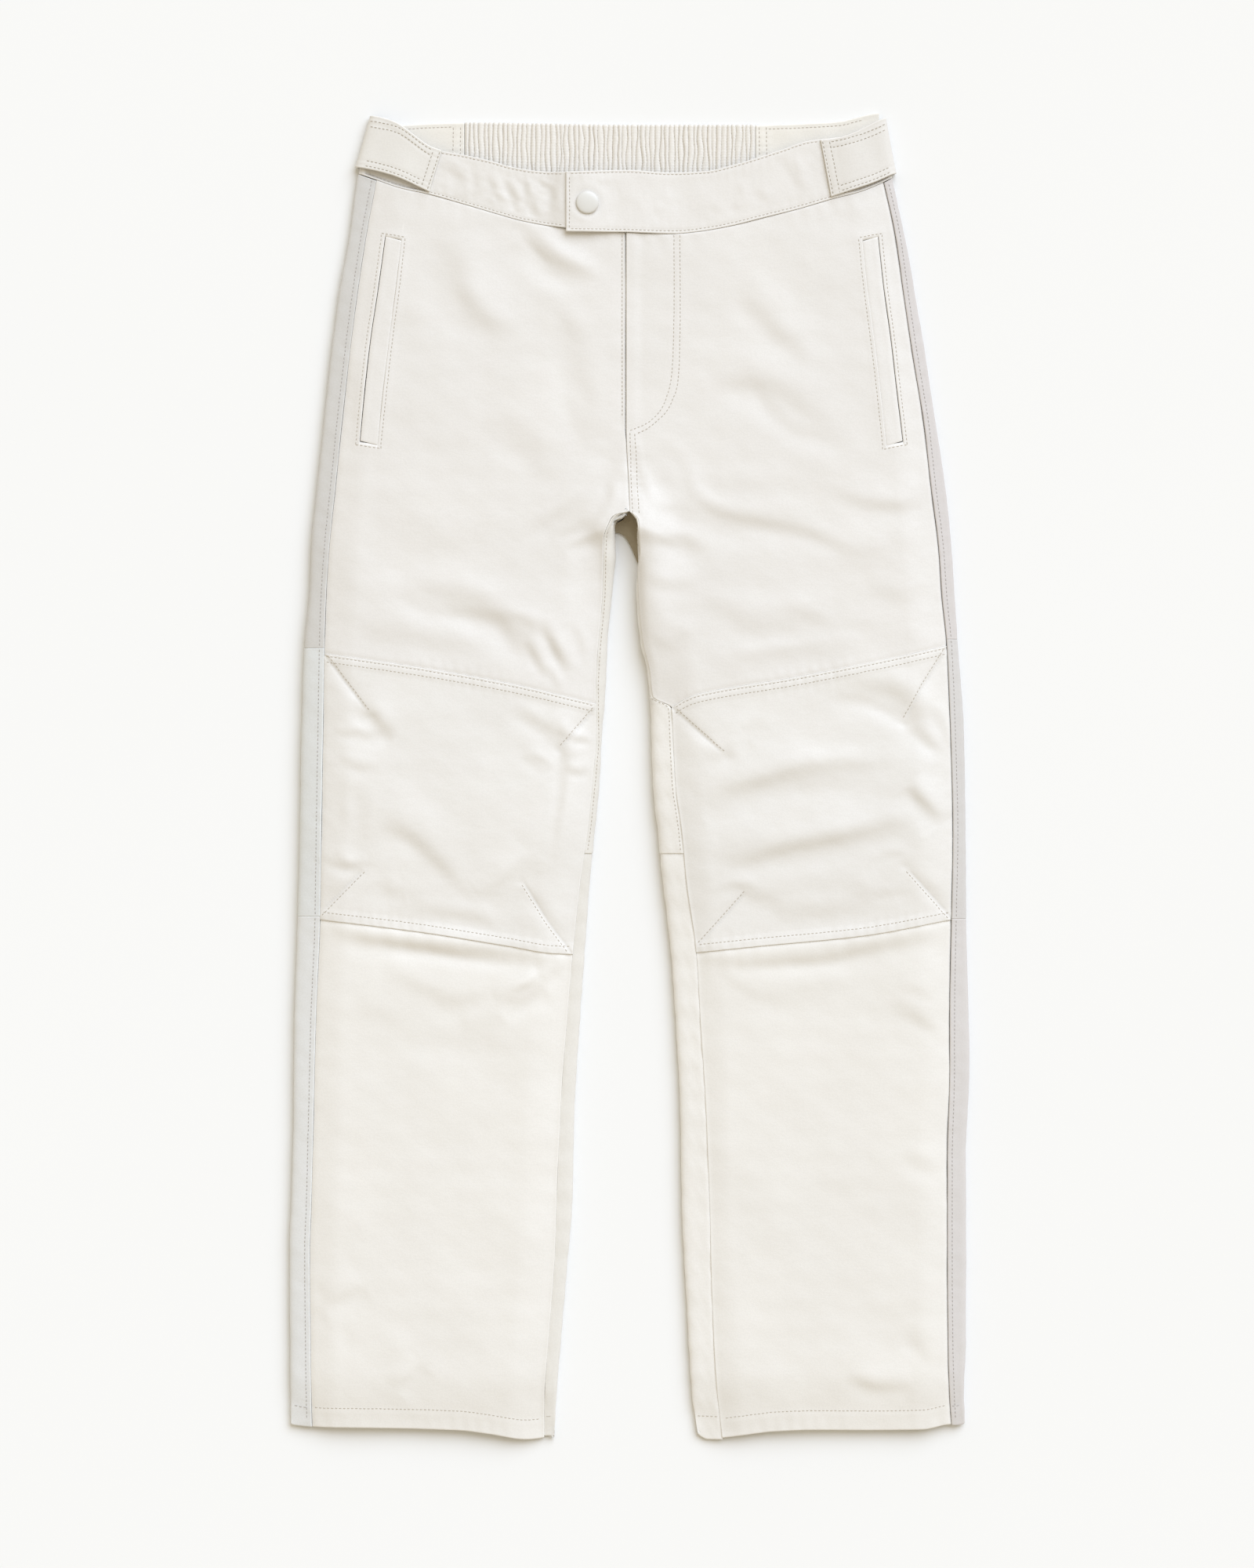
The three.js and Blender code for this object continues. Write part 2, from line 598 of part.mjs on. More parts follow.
// y at which a seam line crosses one column of a panel, found from a first guess.
const SEARCH_STEPS = 8
const START = { waist: 500, band: 470, knee: 85, shin: -130, hem: -540 }
function seamY(leg, lineAt, columnQ, start) {
  let y = start
  for (let i = 0; i < SEARCH_STEPS; i += 1) y = lineAt(leg.point(y, columnQ(y)).x)
  return y
}

// Row places for a thigh panel: 0 to 0.5 above the crotch, 0.5 to 1 below it, close together at the crotch.
// The shares are of the length above the crotch; the rest are millimetres from it.
const SEAM_ROWS = [0.5, 1.4, 2.5, 4, 6, 8.5, 11, 16, 22, 30, 42, 54, 70, 88, 109, 132, 146]
const FRONT_ROWS = {
  above: [1, 0.9, 0.8, 0.7, 0.6, 0.5, 0.4, 0.3, 0.2, 0.1],
  near: [4, 0],
  after: SEAM_ROWS
}
const BACK_ROWS = {
  above: [1, 0.8, 0.6, 0.4, 0.22, 0.1],
  near: [4.2, 3.0, 1.8, 0.9, 0.3],
  after: [...SEAM_ROWS, 154, 163, 180, 205, 232, 256]
}
const LAST_ROW_CLEAR = 3
function crotchRows(high, low, places) {
  const up = high - CROTCH_Y
  const down = CROTCH_Y - low
  const rows = places.above.map((share) => 0.5 - share / 2)
  for (const mm of places.near) rows.push(0.5 - mm / up / 2)
  for (const mm of places.after) {
    if (mm < down - LAST_ROW_CLEAR) rows.push(0.5 + mm / down / 2)
  }
  rows.push(1)
  return rows
}
const bothSides = (top, low, v) => (v <= 0.5 ? mix(top, CROTCH_Y, v * 2) : mix(CROTCH_Y, low, v * 2 - 1))

const closeWallOf = (grids) => closeWall(grids.outerGrid, grids.innerGrid)
const flyGap = (y) => (FLY_GAP / 2 - SEAM_GAP / 2) * ease((y - FLY_BOTTOM + FLY_CLOSING) / FLY_CLOSING)

// A front panel between two seams. Thigh columns stand closer together towards the middle seam.
const COLUMN_BIAS = 1.3
function frontPanel(leg, topLine, lowLine, startTop, startLow, rows, cols, crotch) {
  const stripe = (y) => leg.stripeAt(y) - SEAM_GAP / 2
  const corner = crotch ? Infinity : KNEE_CORNER[leg.name]
  const middle = (y) => leg.seamAt(Math.min(y, corner)) + SEAM_GAP / 2 + flyGap(y)
  const share = (u) => (crotch ? 1 - (1 - u) ** COLUMN_BIAS : u)
  const across = (y, u) => mix(leg.onFront(y, stripe(y)), leg.onFront(y, middle(y)), share(u))
  const topY = (u) => seamY(leg, topLine, (y) => across(y, u), startTop) - SEAM_GAP / 2
  const lowY = (u) => seamY(leg, lowLine, (y) => across(y, u), startLow) + SEAM_GAP / 2
  const marks = crotch ? crotchRows(topY(1), lowY(1), FRONT_ROWS) : null
  return closeWallOf(panelGrids(leg, {
    rows: marks ? marks.length - 1 : rows,
    cols,
    wall: LEATHER,
    rowsAt: marks,
    span: across,
    length: (u, v) => (crotch ? bothSides(topY(u), lowY(u), v) : mix(topY(u), lowY(u), v))
  }))
}

const bandLow = line(BAND_LOW)
const bandTop = line(BAND_TOP)
const backBandTop = line(BACK_BAND_TOP)
const backBandLow = line(BACK_BAND_LOW)

// Counts of rows and columns, and where a back panel turns up from the floor.
const THIGH_COLS = 12
const KNEE_GRID = [17, 16]
const SHIN_GRID = [16, 10]
const STRIPE_ROWS = { thigh: 18, knee: 10, shin: 15 }
const STRIPE_COLS = 6
const BACK_SHIN_ROWS = 13
const BACK_COLS = 10
const FLOOR_SHARE = 0.4
const BACK_TURN = { joined: 24, apart: 2 }
const BACK_END = { below: 0.4, clear: 0.5, rise: 3.2, high: 0.15 }
const HEM_BACK = { floorTo: 0.8, setUp: 1.5, riseFrom: 0.75, riseOver: 0.15 }
const CUTTER = { from: 6, depth: 40 }

for (const leg of [LEGS.right, LEGS.left]) {
  const side = leg.name
  const kneeTop = line(KNEE_TOP[side])
  const kneeLow = line(KNEE_LOW[side])
  const hem = line(HEM[side])
  const underFrontBand = (x) => bandLow(x) - BAND_TUCK
  const thigh = frontPanel(leg, underFrontBand, kneeTop, START.band, START.knee, 0, THIGH_COLS, true)
  const knee = frontPanel(leg, kneeTop, kneeLow, START.knee, START.shin, ...KNEE_GRID, false)
  const shin = frontPanel(leg, kneeLow, hem, START.shin, START.hem, ...SHIN_GRID, false)
  addMesh(`front_thigh_${side}`, cutWindow(thigh, leg), CREAM, SATIN)
  addMesh(`front_knee_${side}`, knee, CREAM, SATIN)
  addMesh(`front_shin_${side}`, shin, CREAM, SATIN)

  // Side stripe: three lengths of grey leather, round the outer side and under it.
  const [stripeHigh, stripeLow] = STRIPE_SEAMS[side]
  const hemStripe = (u) => {
    const up = clamp(u * 2 - 1, 0, 1)
    return hem(leg.sign * mix(leg.outerAt(START.hem), leg.stripeAt(START.hem), up))
  }
  const stripeQ = (y, u) => {
    const under = -leg.frameAt(y).under - STRIPE_FOOT
    return mix(under, leg.onFront(y, leg.stripeAt(y) + SEAM_GAP / 2), u)
  }
  // On the floor the stripe and the back panel stop at the back waistband, on the front at the front one.
  const underBand = (qAt) => {
    let y = START.waist
    for (let i = 0; i < SEARCH_STEPS; i += 1) {
      const place = leg.point(y, qAt(y))
      const onFloor = leg.outerAt(y) - Math.abs(place.x) > leg.frameAt(y).foot + BAND_FOOT && place.z < BAND
      y = onFloor ? backBandLow(place.x) - 2 * BAND_TUCK : bandLow(place.x) - BAND_TUCK
    }
    return y
  }
  const topStripe = (u) => underBand((y) => stripeQ(y, u))
  const stripes = [
    ['thigh', topStripe, () => stripeHigh, GREY_UPPER],
    ['knee', () => stripeHigh, () => stripeLow, GREY_UPPER],
    ['shin', () => stripeLow, hemStripe, GREY_LOWER]
  ]
  for (const [part, from, to, color] of stripes) {
    const grids = panelGrids(leg, {
      rows: STRIPE_ROWS[part],
      cols: STRIPE_COLS,
      wall: LEATHER,
      span: stripeQ,
      length: (u, v) => mix(from(u) - SEAM_GAP / 2, to(u) + SEAM_GAP / 2, v)
    })
    addMesh(`stripe_${part}_${side}`, closeWallOf(grids), color, SATIN)
  }

  // Back panels: flat on the floor, then up round the inner leg to the front panels.
  const floorEdge = (y) => leg.frameAt(y).outer - leg.frameAt(y).foot - STRIPE_FOOT - 2 * SEAM_GAP
  const backEnd = (y) => {
    const f = leg.frameAt(y)
    if (y <= CROTCH_Y - BACK_END.below) {
      return leg.onFront(y, leg.seamAt(y + SEAM_DROP) - SEAM_GAP)
    }
    const floor = f.round + SEAM_GAP
    const high = f.top + f.innerUnder * BACK_END.high
    return mix(high, floor, ease((y - CROTCH_Y - BACK_END.clear) / BACK_END.rise))
  }
  const backSpan = (y, u) => {
    const turn = leg.frameAt(y).round + mix(BACK_TURN.joined, BACK_TURN.apart, splitAt(y))
    if (u < FLOOR_SHARE) return mix(leg.onFloor(y, floorEdge(y)), turn, u / FLOOR_SHARE)
    return mix(turn, backEnd(y), (u - FLOOR_SHARE) / (1 - FLOOR_SHARE))
  }
  const backRows = [
    ['thigh', (u) => underBand((y) => backSpan(y, u)), () => BACK_SEAM_Y, true],
    ['shin', () => BACK_SEAM_Y, (u) => hemBack(leg, hem, u), false]
  ]
  for (const [part, from, to, hasCrotch] of backRows) {
    const marks = hasCrotch ? crotchRows(from(1) - SEAM_GAP / 2, to(1) + SEAM_GAP / 2, BACK_ROWS) : null
    const grids = panelGrids(leg, {
      rows: marks ? marks.length - 1 : BACK_SHIN_ROWS,
      cols: BACK_COLS,
      wall: LEATHER,
      rowsAt: marks,
      span: backSpan,
      length: (u, v) => {
        const top = from(u) - SEAM_GAP / 2
        const low = to(u) + SEAM_GAP / 2
        return hasCrotch ? bothSides(top, low, v) : mix(top, low, v)
      }
    })
    addMesh(`back_${part}_${side}`, closeWallOf(grids), CREAM_BACK, MATT)
  }
}

// The back panel's hem follows the front's, set up a little where it lies on the floor.
function hemBack(leg, hem, u) {
  const acrossFloor = clamp(u / HEM_BACK.floorTo, 0, 1)
  const setUp = HEM_BACK.setUp * (1 - ease((u - HEM_BACK.riseFrom) / HEM_BACK.riseOver))
  return hem(leg.sign * mix(leg.outerAt(START.hem), leg.innerAt(START.hem), acrossFloor)) + setUp
}

// Cuts the pocket window through a thigh panel.
function cutWindow(geometry, leg) {
  const { rows, ends } = POCKETS[leg.name]
  const outAt = column(rows, 'out')
  const inAt = column(rows, 'in')
  const outer = [1, 0.75, 0.5, 0.25, 0].map((t) => {
    const y = mix(ends.outLow, ends.outTop, t)
    return [leg.sign * outAt(y), y]
  })
  const inner = [0, 0.25, 0.5, 0.75, 1].map((t) => {
    const y = mix(ends.inLow, ends.inTop, t)
    return [leg.sign * inAt(y), y]
  })
  const outline = [...outer, ...inner]
  if (leg.sign > 0) outline.reverse()
  const cutter = Manifold.extrude([outline], CUTTER.depth).translate([0, 0, CUTTER.from])
  const body = new Manifold(new Mesh({
    numProp: 3,
    vertProperties: new Float32Array(geometry.getAttribute('position').array),
    triVerts: new Uint32Array(geometry.getIndex().array)
  }))
  const mesh = body.subtract(cutter).getMesh()
  const cut = new THREE.BufferGeometry()
  cut.setAttribute('position', new THREE.Float32BufferAttribute(mesh.vertProperties, 3))
  cut.setIndex(Array.from(mesh.triVerts))
  return cut
}

// A wall whose outer face is pointAt(u, v) moved out by lift(u, v) along its own normal.
// FRONT_PLACE is a place that faces up on every such wall.
const SHARE_STEP = 0.002
const FRONT_PLACE = [0.8, 0.5]
function sheet(pointAt, rows, cols, wall, lift) {
  const step = SHARE_STEP
  const normalAt = (u, v) => {
    const across = pointAt(Math.min(u + step, 1), v).sub(pointAt(Math.max(u - step, 0), v))
    const along = pointAt(u, Math.min(v + step, 1)).sub(pointAt(u, Math.max(v - step, 0)))
    return across.cross(along).normalize()
  }
  const facing = Math.sign(normalAt(...FRONT_PLACE).z)
  const outerGrid = []
  const innerGrid = []
  for (let i = 0; i <= rows; i += 1) {
    outerGrid.push([])
    innerGrid.push([])
    for (let j = 0; j <= cols; j += 1) {
      const u = j / cols
      const v = i / rows
      const normal = normalAt(u, v).multiplyScalar(facing)
      const out = pointAt(u, v).addScaledVector(normal, lift(u, v))
      outerGrid[i].push(out)
      innerGrid[i].push(out.clone().addScaledVector(normal, -wall))
    }
  }
  return closeWall(outerGrid, innerGrid)
}

// A place on a leg's surface, given q across it and two edge lines in x.
function between(leg, qAt, topLine, lowLine, v) {
  let y = START.waist
  for (let i = 0; i < SEARCH_STEPS; i += 1) {
    const x = leg.point(y, qAt(y)).x
    y = mix(topLine(x), lowLine(x), v)
  }
  return leg.point(y, qAt(y))
}

// Runs from low on the side, round it and on to the sewn end, its columns closer together round the side.
const STRAP_UNDER = 0.32
const strapQ = (leg, y, u, end) => {
  const turn = leg.frameAt(y).arc
  if (u < 0.5) return mix(-leg.frameAt(y).under * STRAP_UNDER, turn, u * 2)
  return mix(turn, leg.onFront(y, end), u * 2 - 1)
}

// ---------------------------------------------------------------- pockets, waistband and trim
for (const leg of [LEGS.right, LEGS.left]) {
  const { rows, ends } = POCKETS[leg.name]
  const outAt = column(rows, 'out')
  const inAt = column(rows, 'in')
  const welt = sheet((u, v) => {
    const outY = mix(ends.outTop - WELT_GAP, ends.outLow + WELT_GAP, v)
    const inY = mix(ends.inTop - WELT_GAP, ends.inLow + WELT_GAP, v)
    const y = mix(outY, inY, u)
    const a = mix(outAt(y) - MOUTH, inAt(y) + WELT_GAP, u)
    return leg.point(y, leg.onFront(y, a))
  }, 9, 2, WELT, () => -WELT_SINK)
  addMesh(`pocket_welt_${leg.name}`, welt, CREAM, SATIN)

  const strapLines = STRAPS[leg.name]
  const strapTop = line(strapLines.top)
  const strapLow = line(strapLines.low)
  const strap = sheet((u, v) => {
    const end = mix(strapLines.end[0], strapLines.end[1], v)
    return between(leg, (y) => strapQ(leg, y, u, end), strapTop, strapLow, v)
  }, 4, 10, STRAP, (u, v) => {
    const bow = STRAP_BOW * v * v * (1 - ease((u - BOW_TO) / (1 - BOW_TO)))
    return BAND_PROUD + LAY_GAP + STRAP + bow
  })
  addMesh(`side_strap_${leg.name}`, strap, CREAM_BAND, SATIN)
}

const bandFoot = (leg, y) => -leg.frameAt(y).under - BAND_FOOT
const frontLow = (x) => bandLow(x) + SEAM_GAP / 2
// Runs from under the side, round it and on to the middle, with its columns closer together round the side.
const ROUND_SHARE = 0.22
const ROUND_PAST = 8
const bandQ = (leg, y, u, last) => {
  const turn = leg.frameAt(y).arc + ROUND_PAST
  if (u < ROUND_SHARE) return mix(bandFoot(leg, y), turn, u / ROUND_SHARE)
  return mix(turn, leg.onFront(y, last), (u - ROUND_SHARE) / (1 - ROUND_SHARE))
}
const PROUD_FROM = 0.08
const RIGHT_BAND_END = 2
const proud = (u) => BAND_PROUD * ease((u - PROUD_FROM) / PROUD_FROM)
const rightBand = sheet(
  (u, v) => between(LEGS.right, (y) => bandQ(LEGS.right, y, u, RIGHT_BAND_END), bandTop, frontLow, v),
  3, 23, BAND, proud
)
addMesh('waistband_front_right', rightBand, CREAM_BAND, SATIN)

// The left band runs on past the middle as the tab that carries the snap and lies over the right band.
const TAB_FROM = 0.78
const TAB_LIFT = BAND + LAY_GAP
const TAB_CORNER_Y = 453.1
const TAB_RISE = { before: 0.045, over: 0.04 }
const tabLow = (x) => {
  const edge = x < 0 ? mix(bandLow(0), TAB_CORNER_Y, clamp(x / TAB_END, 0, 1)) : bandLow(x)
  return edge + SEAM_GAP / 2
}
const MIDDLE_X = -0.6
const MIDDLE_STEP = 0.1
const tabX = (u) => mix(MIDDLE_X - MIDDLE_STEP, TAB_END, (u - TAB_FROM) / (1 - TAB_FROM))
const leftBandPoint = (u, v) => {
  if (u <= TAB_FROM) {
    const share = u / TAB_FROM
    const left = LEGS.left
    return between(left, (y) => bandQ(left, y, share, MIDDLE_X + MIDDLE_STEP), bandTop, tabLow, v)
  }
  return between(LEGS.right, (y) => LEGS.right.onFront(y, -tabX(u)), bandTop, tabLow, v)
}
const leftBand = sheet(leftBandPoint, 3, 32, BAND, (u) => {
  const rise = ease((u - TAB_FROM + TAB_RISE.before) / TAB_RISE.over)
  return proud(u / TAB_FROM) + TAB_LIFT * rise
})
addMesh('waistband_front_left', leftBand, CREAM_BAND, SATIN)

for (const leg of [LEGS.right, LEGS.left]) {
  const inner = leg.sign < 0 ? -ELASTIC.from + SEAM_GAP : ELASTIC.to + SEAM_GAP
  const outer = (y) => leg.outerAt(y) - leg.frameAt(y).foot - BAND_FOOT - SEAM_GAP
  const flat = sheet((u, v) => {
    let y = START.waist
    let x = 0
    for (let i = 0; i < SEARCH_STEPS; i += 1) {
      x = leg.sign * mix(outer(y), inner, u)
      y = mix(backBandTop(x), backBandLow(x) + SEAM_GAP / 2, v)
    }
    return new THREE.Vector3(x, y, BAND)
  }, 2, 4, BAND, () => 0)
  addMesh(`waistband_back_${leg.name}`, flat, CREAM_BACK, MATT)
}

// Gathered elastic: one ridge a gather, each wandering a little and not quite as high as the next.
const GATHER = { wander: 0.6, even: 0.8, uneven: 0.2 }
function elasticBack() {
  const cols = ELASTIC.gathers * 2
  const rows = 2
  const outerGrid = []
  const innerGrid = []
  for (let i = 0; i <= rows; i += 1) {
    outerGrid.push([])
    innerGrid.push([])
    for (let j = 0; j <= cols; j += 1) {
      const inside = j > 0 && j < cols ? 1 : 0
      const wander = inside * GATHER.wander * Math.sin(i * 1.9 + j * 0.7)
      const x = mix(ELASTIC.from, ELASTIC.to, j / cols) + wander
      const y = mix(backBandTop(x), backBandLow(x) + SEAM_GAP / 2, i / rows)
      const ridge = j % 2 === 1 ? GATHER.even + GATHER.uneven * Math.sin(j * 1.3 + i) : 0
      outerGrid[i].push(new THREE.Vector3(x, y, mix(ELASTIC.low, ELASTIC.high, ridge)))
      innerGrid[i].push(new THREE.Vector3(x, y, 0))
    }
  }
  return closeWall(outerGrid, innerGrid)
}
addMesh('waistband_back_elastic', elasticBack(), ELASTIC_CREAM, MATT)

// The flap behind the fly's opening.
const UNDERLAP = { right: 12, left: 9, top: 446, low: 294, wall: 1.4 }
const underlap = sheet((u, v) => {
  const x = mix(-UNDERLAP.right, UNDERLAP.left, u)
  const y = mix(UNDERLAP.top, UNDERLAP.low, v)
  const leg = x < 0 ? LEGS.right : LEGS.left
  return new THREE.Vector3(x, y, leg.topAt(Math.max(Math.abs(x), 1), y))
}, 10, 2, UNDERLAP.wall, () => -LEATHER - LAY_GAP)
addMesh('fly_underlap', underlap, CREAM_BAND, MATT)

// Snap cap: a low turned dome resting on the tab.
function snapCap() {
  const SIDES_ROUND = 28
  const rings = [[SNAP.radius, 0], [SNAP.radius, SNAP.skirt]]
  for (const t of [0.25, 0.5, 0.72, 0.88]) {
    const angle = (t * Math.PI) / 2
    rings.push([SNAP.radius * Math.cos(angle), SNAP.skirt + (SNAP.rise - SNAP.skirt) * Math.sin(angle)])
  }
  let seat = 0
  for (let k = 0; k < SIDES_ROUND; k += 1) {
    const angle = (k / SIDES_ROUND) * Math.PI * 2
    for (const share of [0, 0.5, 1]) {
      const x = SNAP.x + SNAP.radius * share * Math.cos(angle)
      const y = SNAP.y + SNAP.radius * share * Math.sin(angle)
      seat = Math.max(seat, LEGS.right.topAt(-x, y))
    }
  }
  const base = seat + BAND_PROUD + TAB_LIFT + SNAP.clear
  const positions = [SNAP.x, SNAP.y, base]
  for (const [radius, z] of rings) {
    for (let k = 0; k < SIDES_ROUND; k += 1) {
      const angle = (k / SIDES_ROUND) * Math.PI * 2
      positions.push(SNAP.x + radius * Math.cos(angle), SNAP.y + radius * Math.sin(angle), base + z)
    }
  }
  const last = positions.length / 3
  positions.push(SNAP.x, SNAP.y, base + SNAP.rise)
  const index = []
  for (let k = 0; k < SIDES_ROUND; k += 1) {
    const next = (k + 1) % SIDES_ROUND
    index.push(0, 1 + next, 1 + k)
    for (let r = 0; r < rings.length - 1; r += 1) {
      const low = 1 + r * SIDES_ROUND
      const high = low + SIDES_ROUND
      index.push(low + k, low + next, high + next, low + k, high + next, high + k)
    }
    const top = 1 + (rings.length - 1) * SIDES_ROUND
    index.push(top + k, top + next, last)
  }
  const geometry = new THREE.BufferGeometry()
  geometry.setAttribute('position', new THREE.Float32BufferAttribute(positions, 3))
  geometry.setIndex(index)
  return geometry
}
addMesh('snap_cap', snapCap(), SNAP_CREAM, SMOOTH)

export default group
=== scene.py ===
"""Leather motorcycle trousers laid flat on their back. Lengths are millimetres and become metres where a
mesh is made. +X is the wearer's left, +Y the waist, +Z up."""

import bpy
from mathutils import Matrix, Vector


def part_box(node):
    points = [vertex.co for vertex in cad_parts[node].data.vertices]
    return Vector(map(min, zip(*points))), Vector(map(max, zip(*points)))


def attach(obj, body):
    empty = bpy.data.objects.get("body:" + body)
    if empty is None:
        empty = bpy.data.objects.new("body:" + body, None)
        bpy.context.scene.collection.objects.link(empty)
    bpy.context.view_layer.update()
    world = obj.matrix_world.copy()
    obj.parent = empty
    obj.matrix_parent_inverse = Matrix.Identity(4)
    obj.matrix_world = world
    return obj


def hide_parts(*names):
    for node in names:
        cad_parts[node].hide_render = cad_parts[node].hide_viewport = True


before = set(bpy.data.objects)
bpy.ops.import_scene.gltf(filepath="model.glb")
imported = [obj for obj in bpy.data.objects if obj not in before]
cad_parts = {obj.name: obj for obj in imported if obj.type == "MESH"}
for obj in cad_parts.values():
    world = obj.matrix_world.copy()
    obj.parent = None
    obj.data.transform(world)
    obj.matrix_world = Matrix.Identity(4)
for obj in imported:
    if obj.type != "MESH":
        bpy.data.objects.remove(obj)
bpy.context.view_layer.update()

import math
from types import SimpleNamespace

import bpy
import numpy as np
from mathutils import Vector
from mathutils.bvhtree import BVHTree

SEED = 7
rng = np.random.default_rng(SEED)

# ---------------------------------------------------------------- sizes
LEATHER, BAND, STRAP, WELT = 1.6, 2.4, 2.0, 1.2
SEAM_GAP = 0.3
SEWN = 0.03
BAND_TUCK = 0.4
LAY_GAP = 0.3
STRIPE_FOOT = 16.0
BAND_FOOT = 5.0
FLY_OPEN, FLY_BOTTOM, FLY_CLOSING = 1.15, 290.0, 14.0
CROTCH_Y = 222.0
BACK_SEAM_Y = -62.0
TAB_END = -50.7
SNAP = dict(x=-32.8, y=477.4, radius=9.4, rise=2.6)
ELASTIC = dict(start=-134.9, end=106.6, gathers=61, low=2.3, high=3.9)
LIGHT_SIDE = (0.6, 0.8)
MIDDLE_X = -0.6

# rows: y, outer, stripe
SIDES = {
    "right": [
        (549, 211.0, 197.0), (522, 218.0, 203.0), (496, 224.3, 208.0), (451, 231.4, 216.5),
        (399, 241.2, 224.3), (347, 248.3, 230.8), (295, 254.2, 236.6), (243, 260.0, 241.8),
        (191, 265.2, 247.0), (152, 266.8, 249.6), (113, 271.0, 250.9), (35, 273.7, 252.2),
        (-43, 275.0, 253.5), (-121, 276.9, 254.8), (-199, 279.5, 258.1), (-277, 280.2, 260.0),
        (-355, 282.1, 262.0), (-394, 283.4, 263.3), (-472, 282.8, 262.6), (-549, 282.0, 261.6),
    ],
    "left": [
        (549, 212.5, 200.0), (522, 216.5, 207.0), (496, 220.6, 213.0), (451, 230.1, 222.8),
        (399, 239.2, 230.1), (347, 247.7, 237.9), (295, 255.5, 246.4), (243, 263.3, 252.2),
        (191, 268.5, 258.7), (152, 271.1, 261.3), (113, 273.7, 265.2), (35, 278.9, 268.5),
        (-43, 280.2, 270.4), (-121, 280.8, 269.1), (-199, 282.8, 267.8), (-238, 283.4, 267.8),
        (-316, 280.4, 265.9), (-394, 280.8, 265.9), (-472, 280.2, 266.5), (-511, 278.9, 267.8),
        (-549, 279.6, 270.6),
    ],
}
# rows: y, inner, seam
INSIDES = {
    "right": [
        (549, 0.6, 0.6), (290, 0.6, 0.6), (226, -1.9, -1.9), (222, -1.9, -1.9), (219.5, -1.8, 8.5),
        (216, -0.8, 13.0), (211, 6.8, 15.4), (200, 7.8, 19.2), (180, 9.6, 19.7), (152, 12.4, 20.4),
        (113, 16.1, 23.8), (76, 17.6, 25.9), (35, 20.9, 25.6), (-4, 22.8, 28.6), (-43, 26.7, 32.5),
        (-82, 30.6, 38.2), (-144, 35.1, 44.9), (-199, 39.0, 49.6), (-277, 43.6, 55.3),
        (-355, 45.5, 58.5), (-394, 48.8, 59.8), (-472, 55.3, 65.7), (-511, 58.5, 68.2),
        (-549, 60.5, 68.8),
    ],
    "left": [
        (549, -0.6, -0.6), (290, -0.6, -0.6), (226, 1.9, 1.9), (222, 1.9, 1.9), (219.5, 2.0, 5.6),
        (214, 2.6, 9.4), (197, 4.4, 10.3), (188, 5.2, 10.9), (173, 7.1, 8.9), (152, 7.6, 9.4),
        (113, 11.2, 13.2), (90, 16.6, 18.6), (68, 18.8, 21.4), (59, 19.4, 36.8), (35, 20.2, 37.8),
        (-4, 21.5, 39.8), (-43, 25.4, 45.2), (-82, 29.3, 48.8), (-144, 36.4, 57.2), (-199, 40.3, 60.5),
        (-277, 44.2, 65.4), (-355, 45.5, 68.3), (-433, 49.4, 70.4), (-511, 54.0, 74.8),
        (-549, 59.6, 79.2),
    ],
}
# rows: y, crown, waist, roll, split
HEIGHTS = [
    (549, 11.6, 4.8, 8, 0), (500, 11.9, 5.0, 9, 0), (440, 13.2, 5.0, 11, 0), (330, 15.0, 5.2, 13, 0),
    (222, 17.0, 5.4, 14, 0), (212, 17.2, 5.4, 14, 0.5), (190, 17.8, 5.4, 14, 1), (90, 19.5, 5.4, 13, 1),
    (-40, 20.0, 5.4, 13, 1), (-150, 17.0, 5.2, 12, 1), (-300, 16.5, 5.0, 11, 1), (-480, 15.4, 4.8, 10, 1),
    (-549, 15.0, 4.8, 10, 1),
]
BAND_LOW = [
    (-223, 502.2), (-210, 497.6), (-188, 489.8), (-164, 484.6), (-140, 477.8), (-108, 468.3), (-84, 461.8),
    (-50, 456.4), (0, 452.9), (39, 451.8), (58, 453.4), (84, 457.9), (113, 465.1), (144, 472.9),
    (170, 480.7), (192, 486.4), (214, 495.6), (221, 499.4),
]
BAND_TOP = [
    (-223, 548.0), (-212, 546.3), (-192, 541.8), (-161, 522.3), (-135, 517.4), (-115, 512.9), (-93, 507.0),
    (-74, 504.1), (-53, 503.1), (0, 504.6), (35, 502.8), (66, 504.1), (84, 508.0), (107, 514.8),
    (129, 522.0), (151, 529.1), (170, 531.4), (191, 534.6), (205, 539.8), (214, 545.0), (221, 546.4),
]
BACK_BAND_TOP = [
    (-223, 547.4), (-205, 545.0), (-190, 541.6), (-161, 543.0), (-135, 543.7), (0, 541.8), (107, 541.8),
    (156, 543.4), (178, 545.0), (192, 548.4), (205, 551.4), (221, 552.6),
]
BACK_BAND_LOW = [
    (-223, 502.2), (-214.7, 499.3), (-190, 495.0), (0, 493.5), (190, 493.8), (211, 494.5), (221, 499.4),
]
KNEE_TOP = {
    "right": [(-252, 104.0), (-170, 92.0), (-100, 79.5), (-26, 62.4)],
    "left": [(37, 58.8), (48, 66.0), (60, 70.5), (136, 83.6), (214, 98.8), (266, 110.5)],
}
KNEE_LOW = {
    "right": [(-255, -116.7), (-176, -126.4), (-98, -138.8), (-62, -144.8), (-45, -145.6)],
    "left": [(57, -144.2), (109, -138.8), (195, -130.3), (270, -116.7)],
}
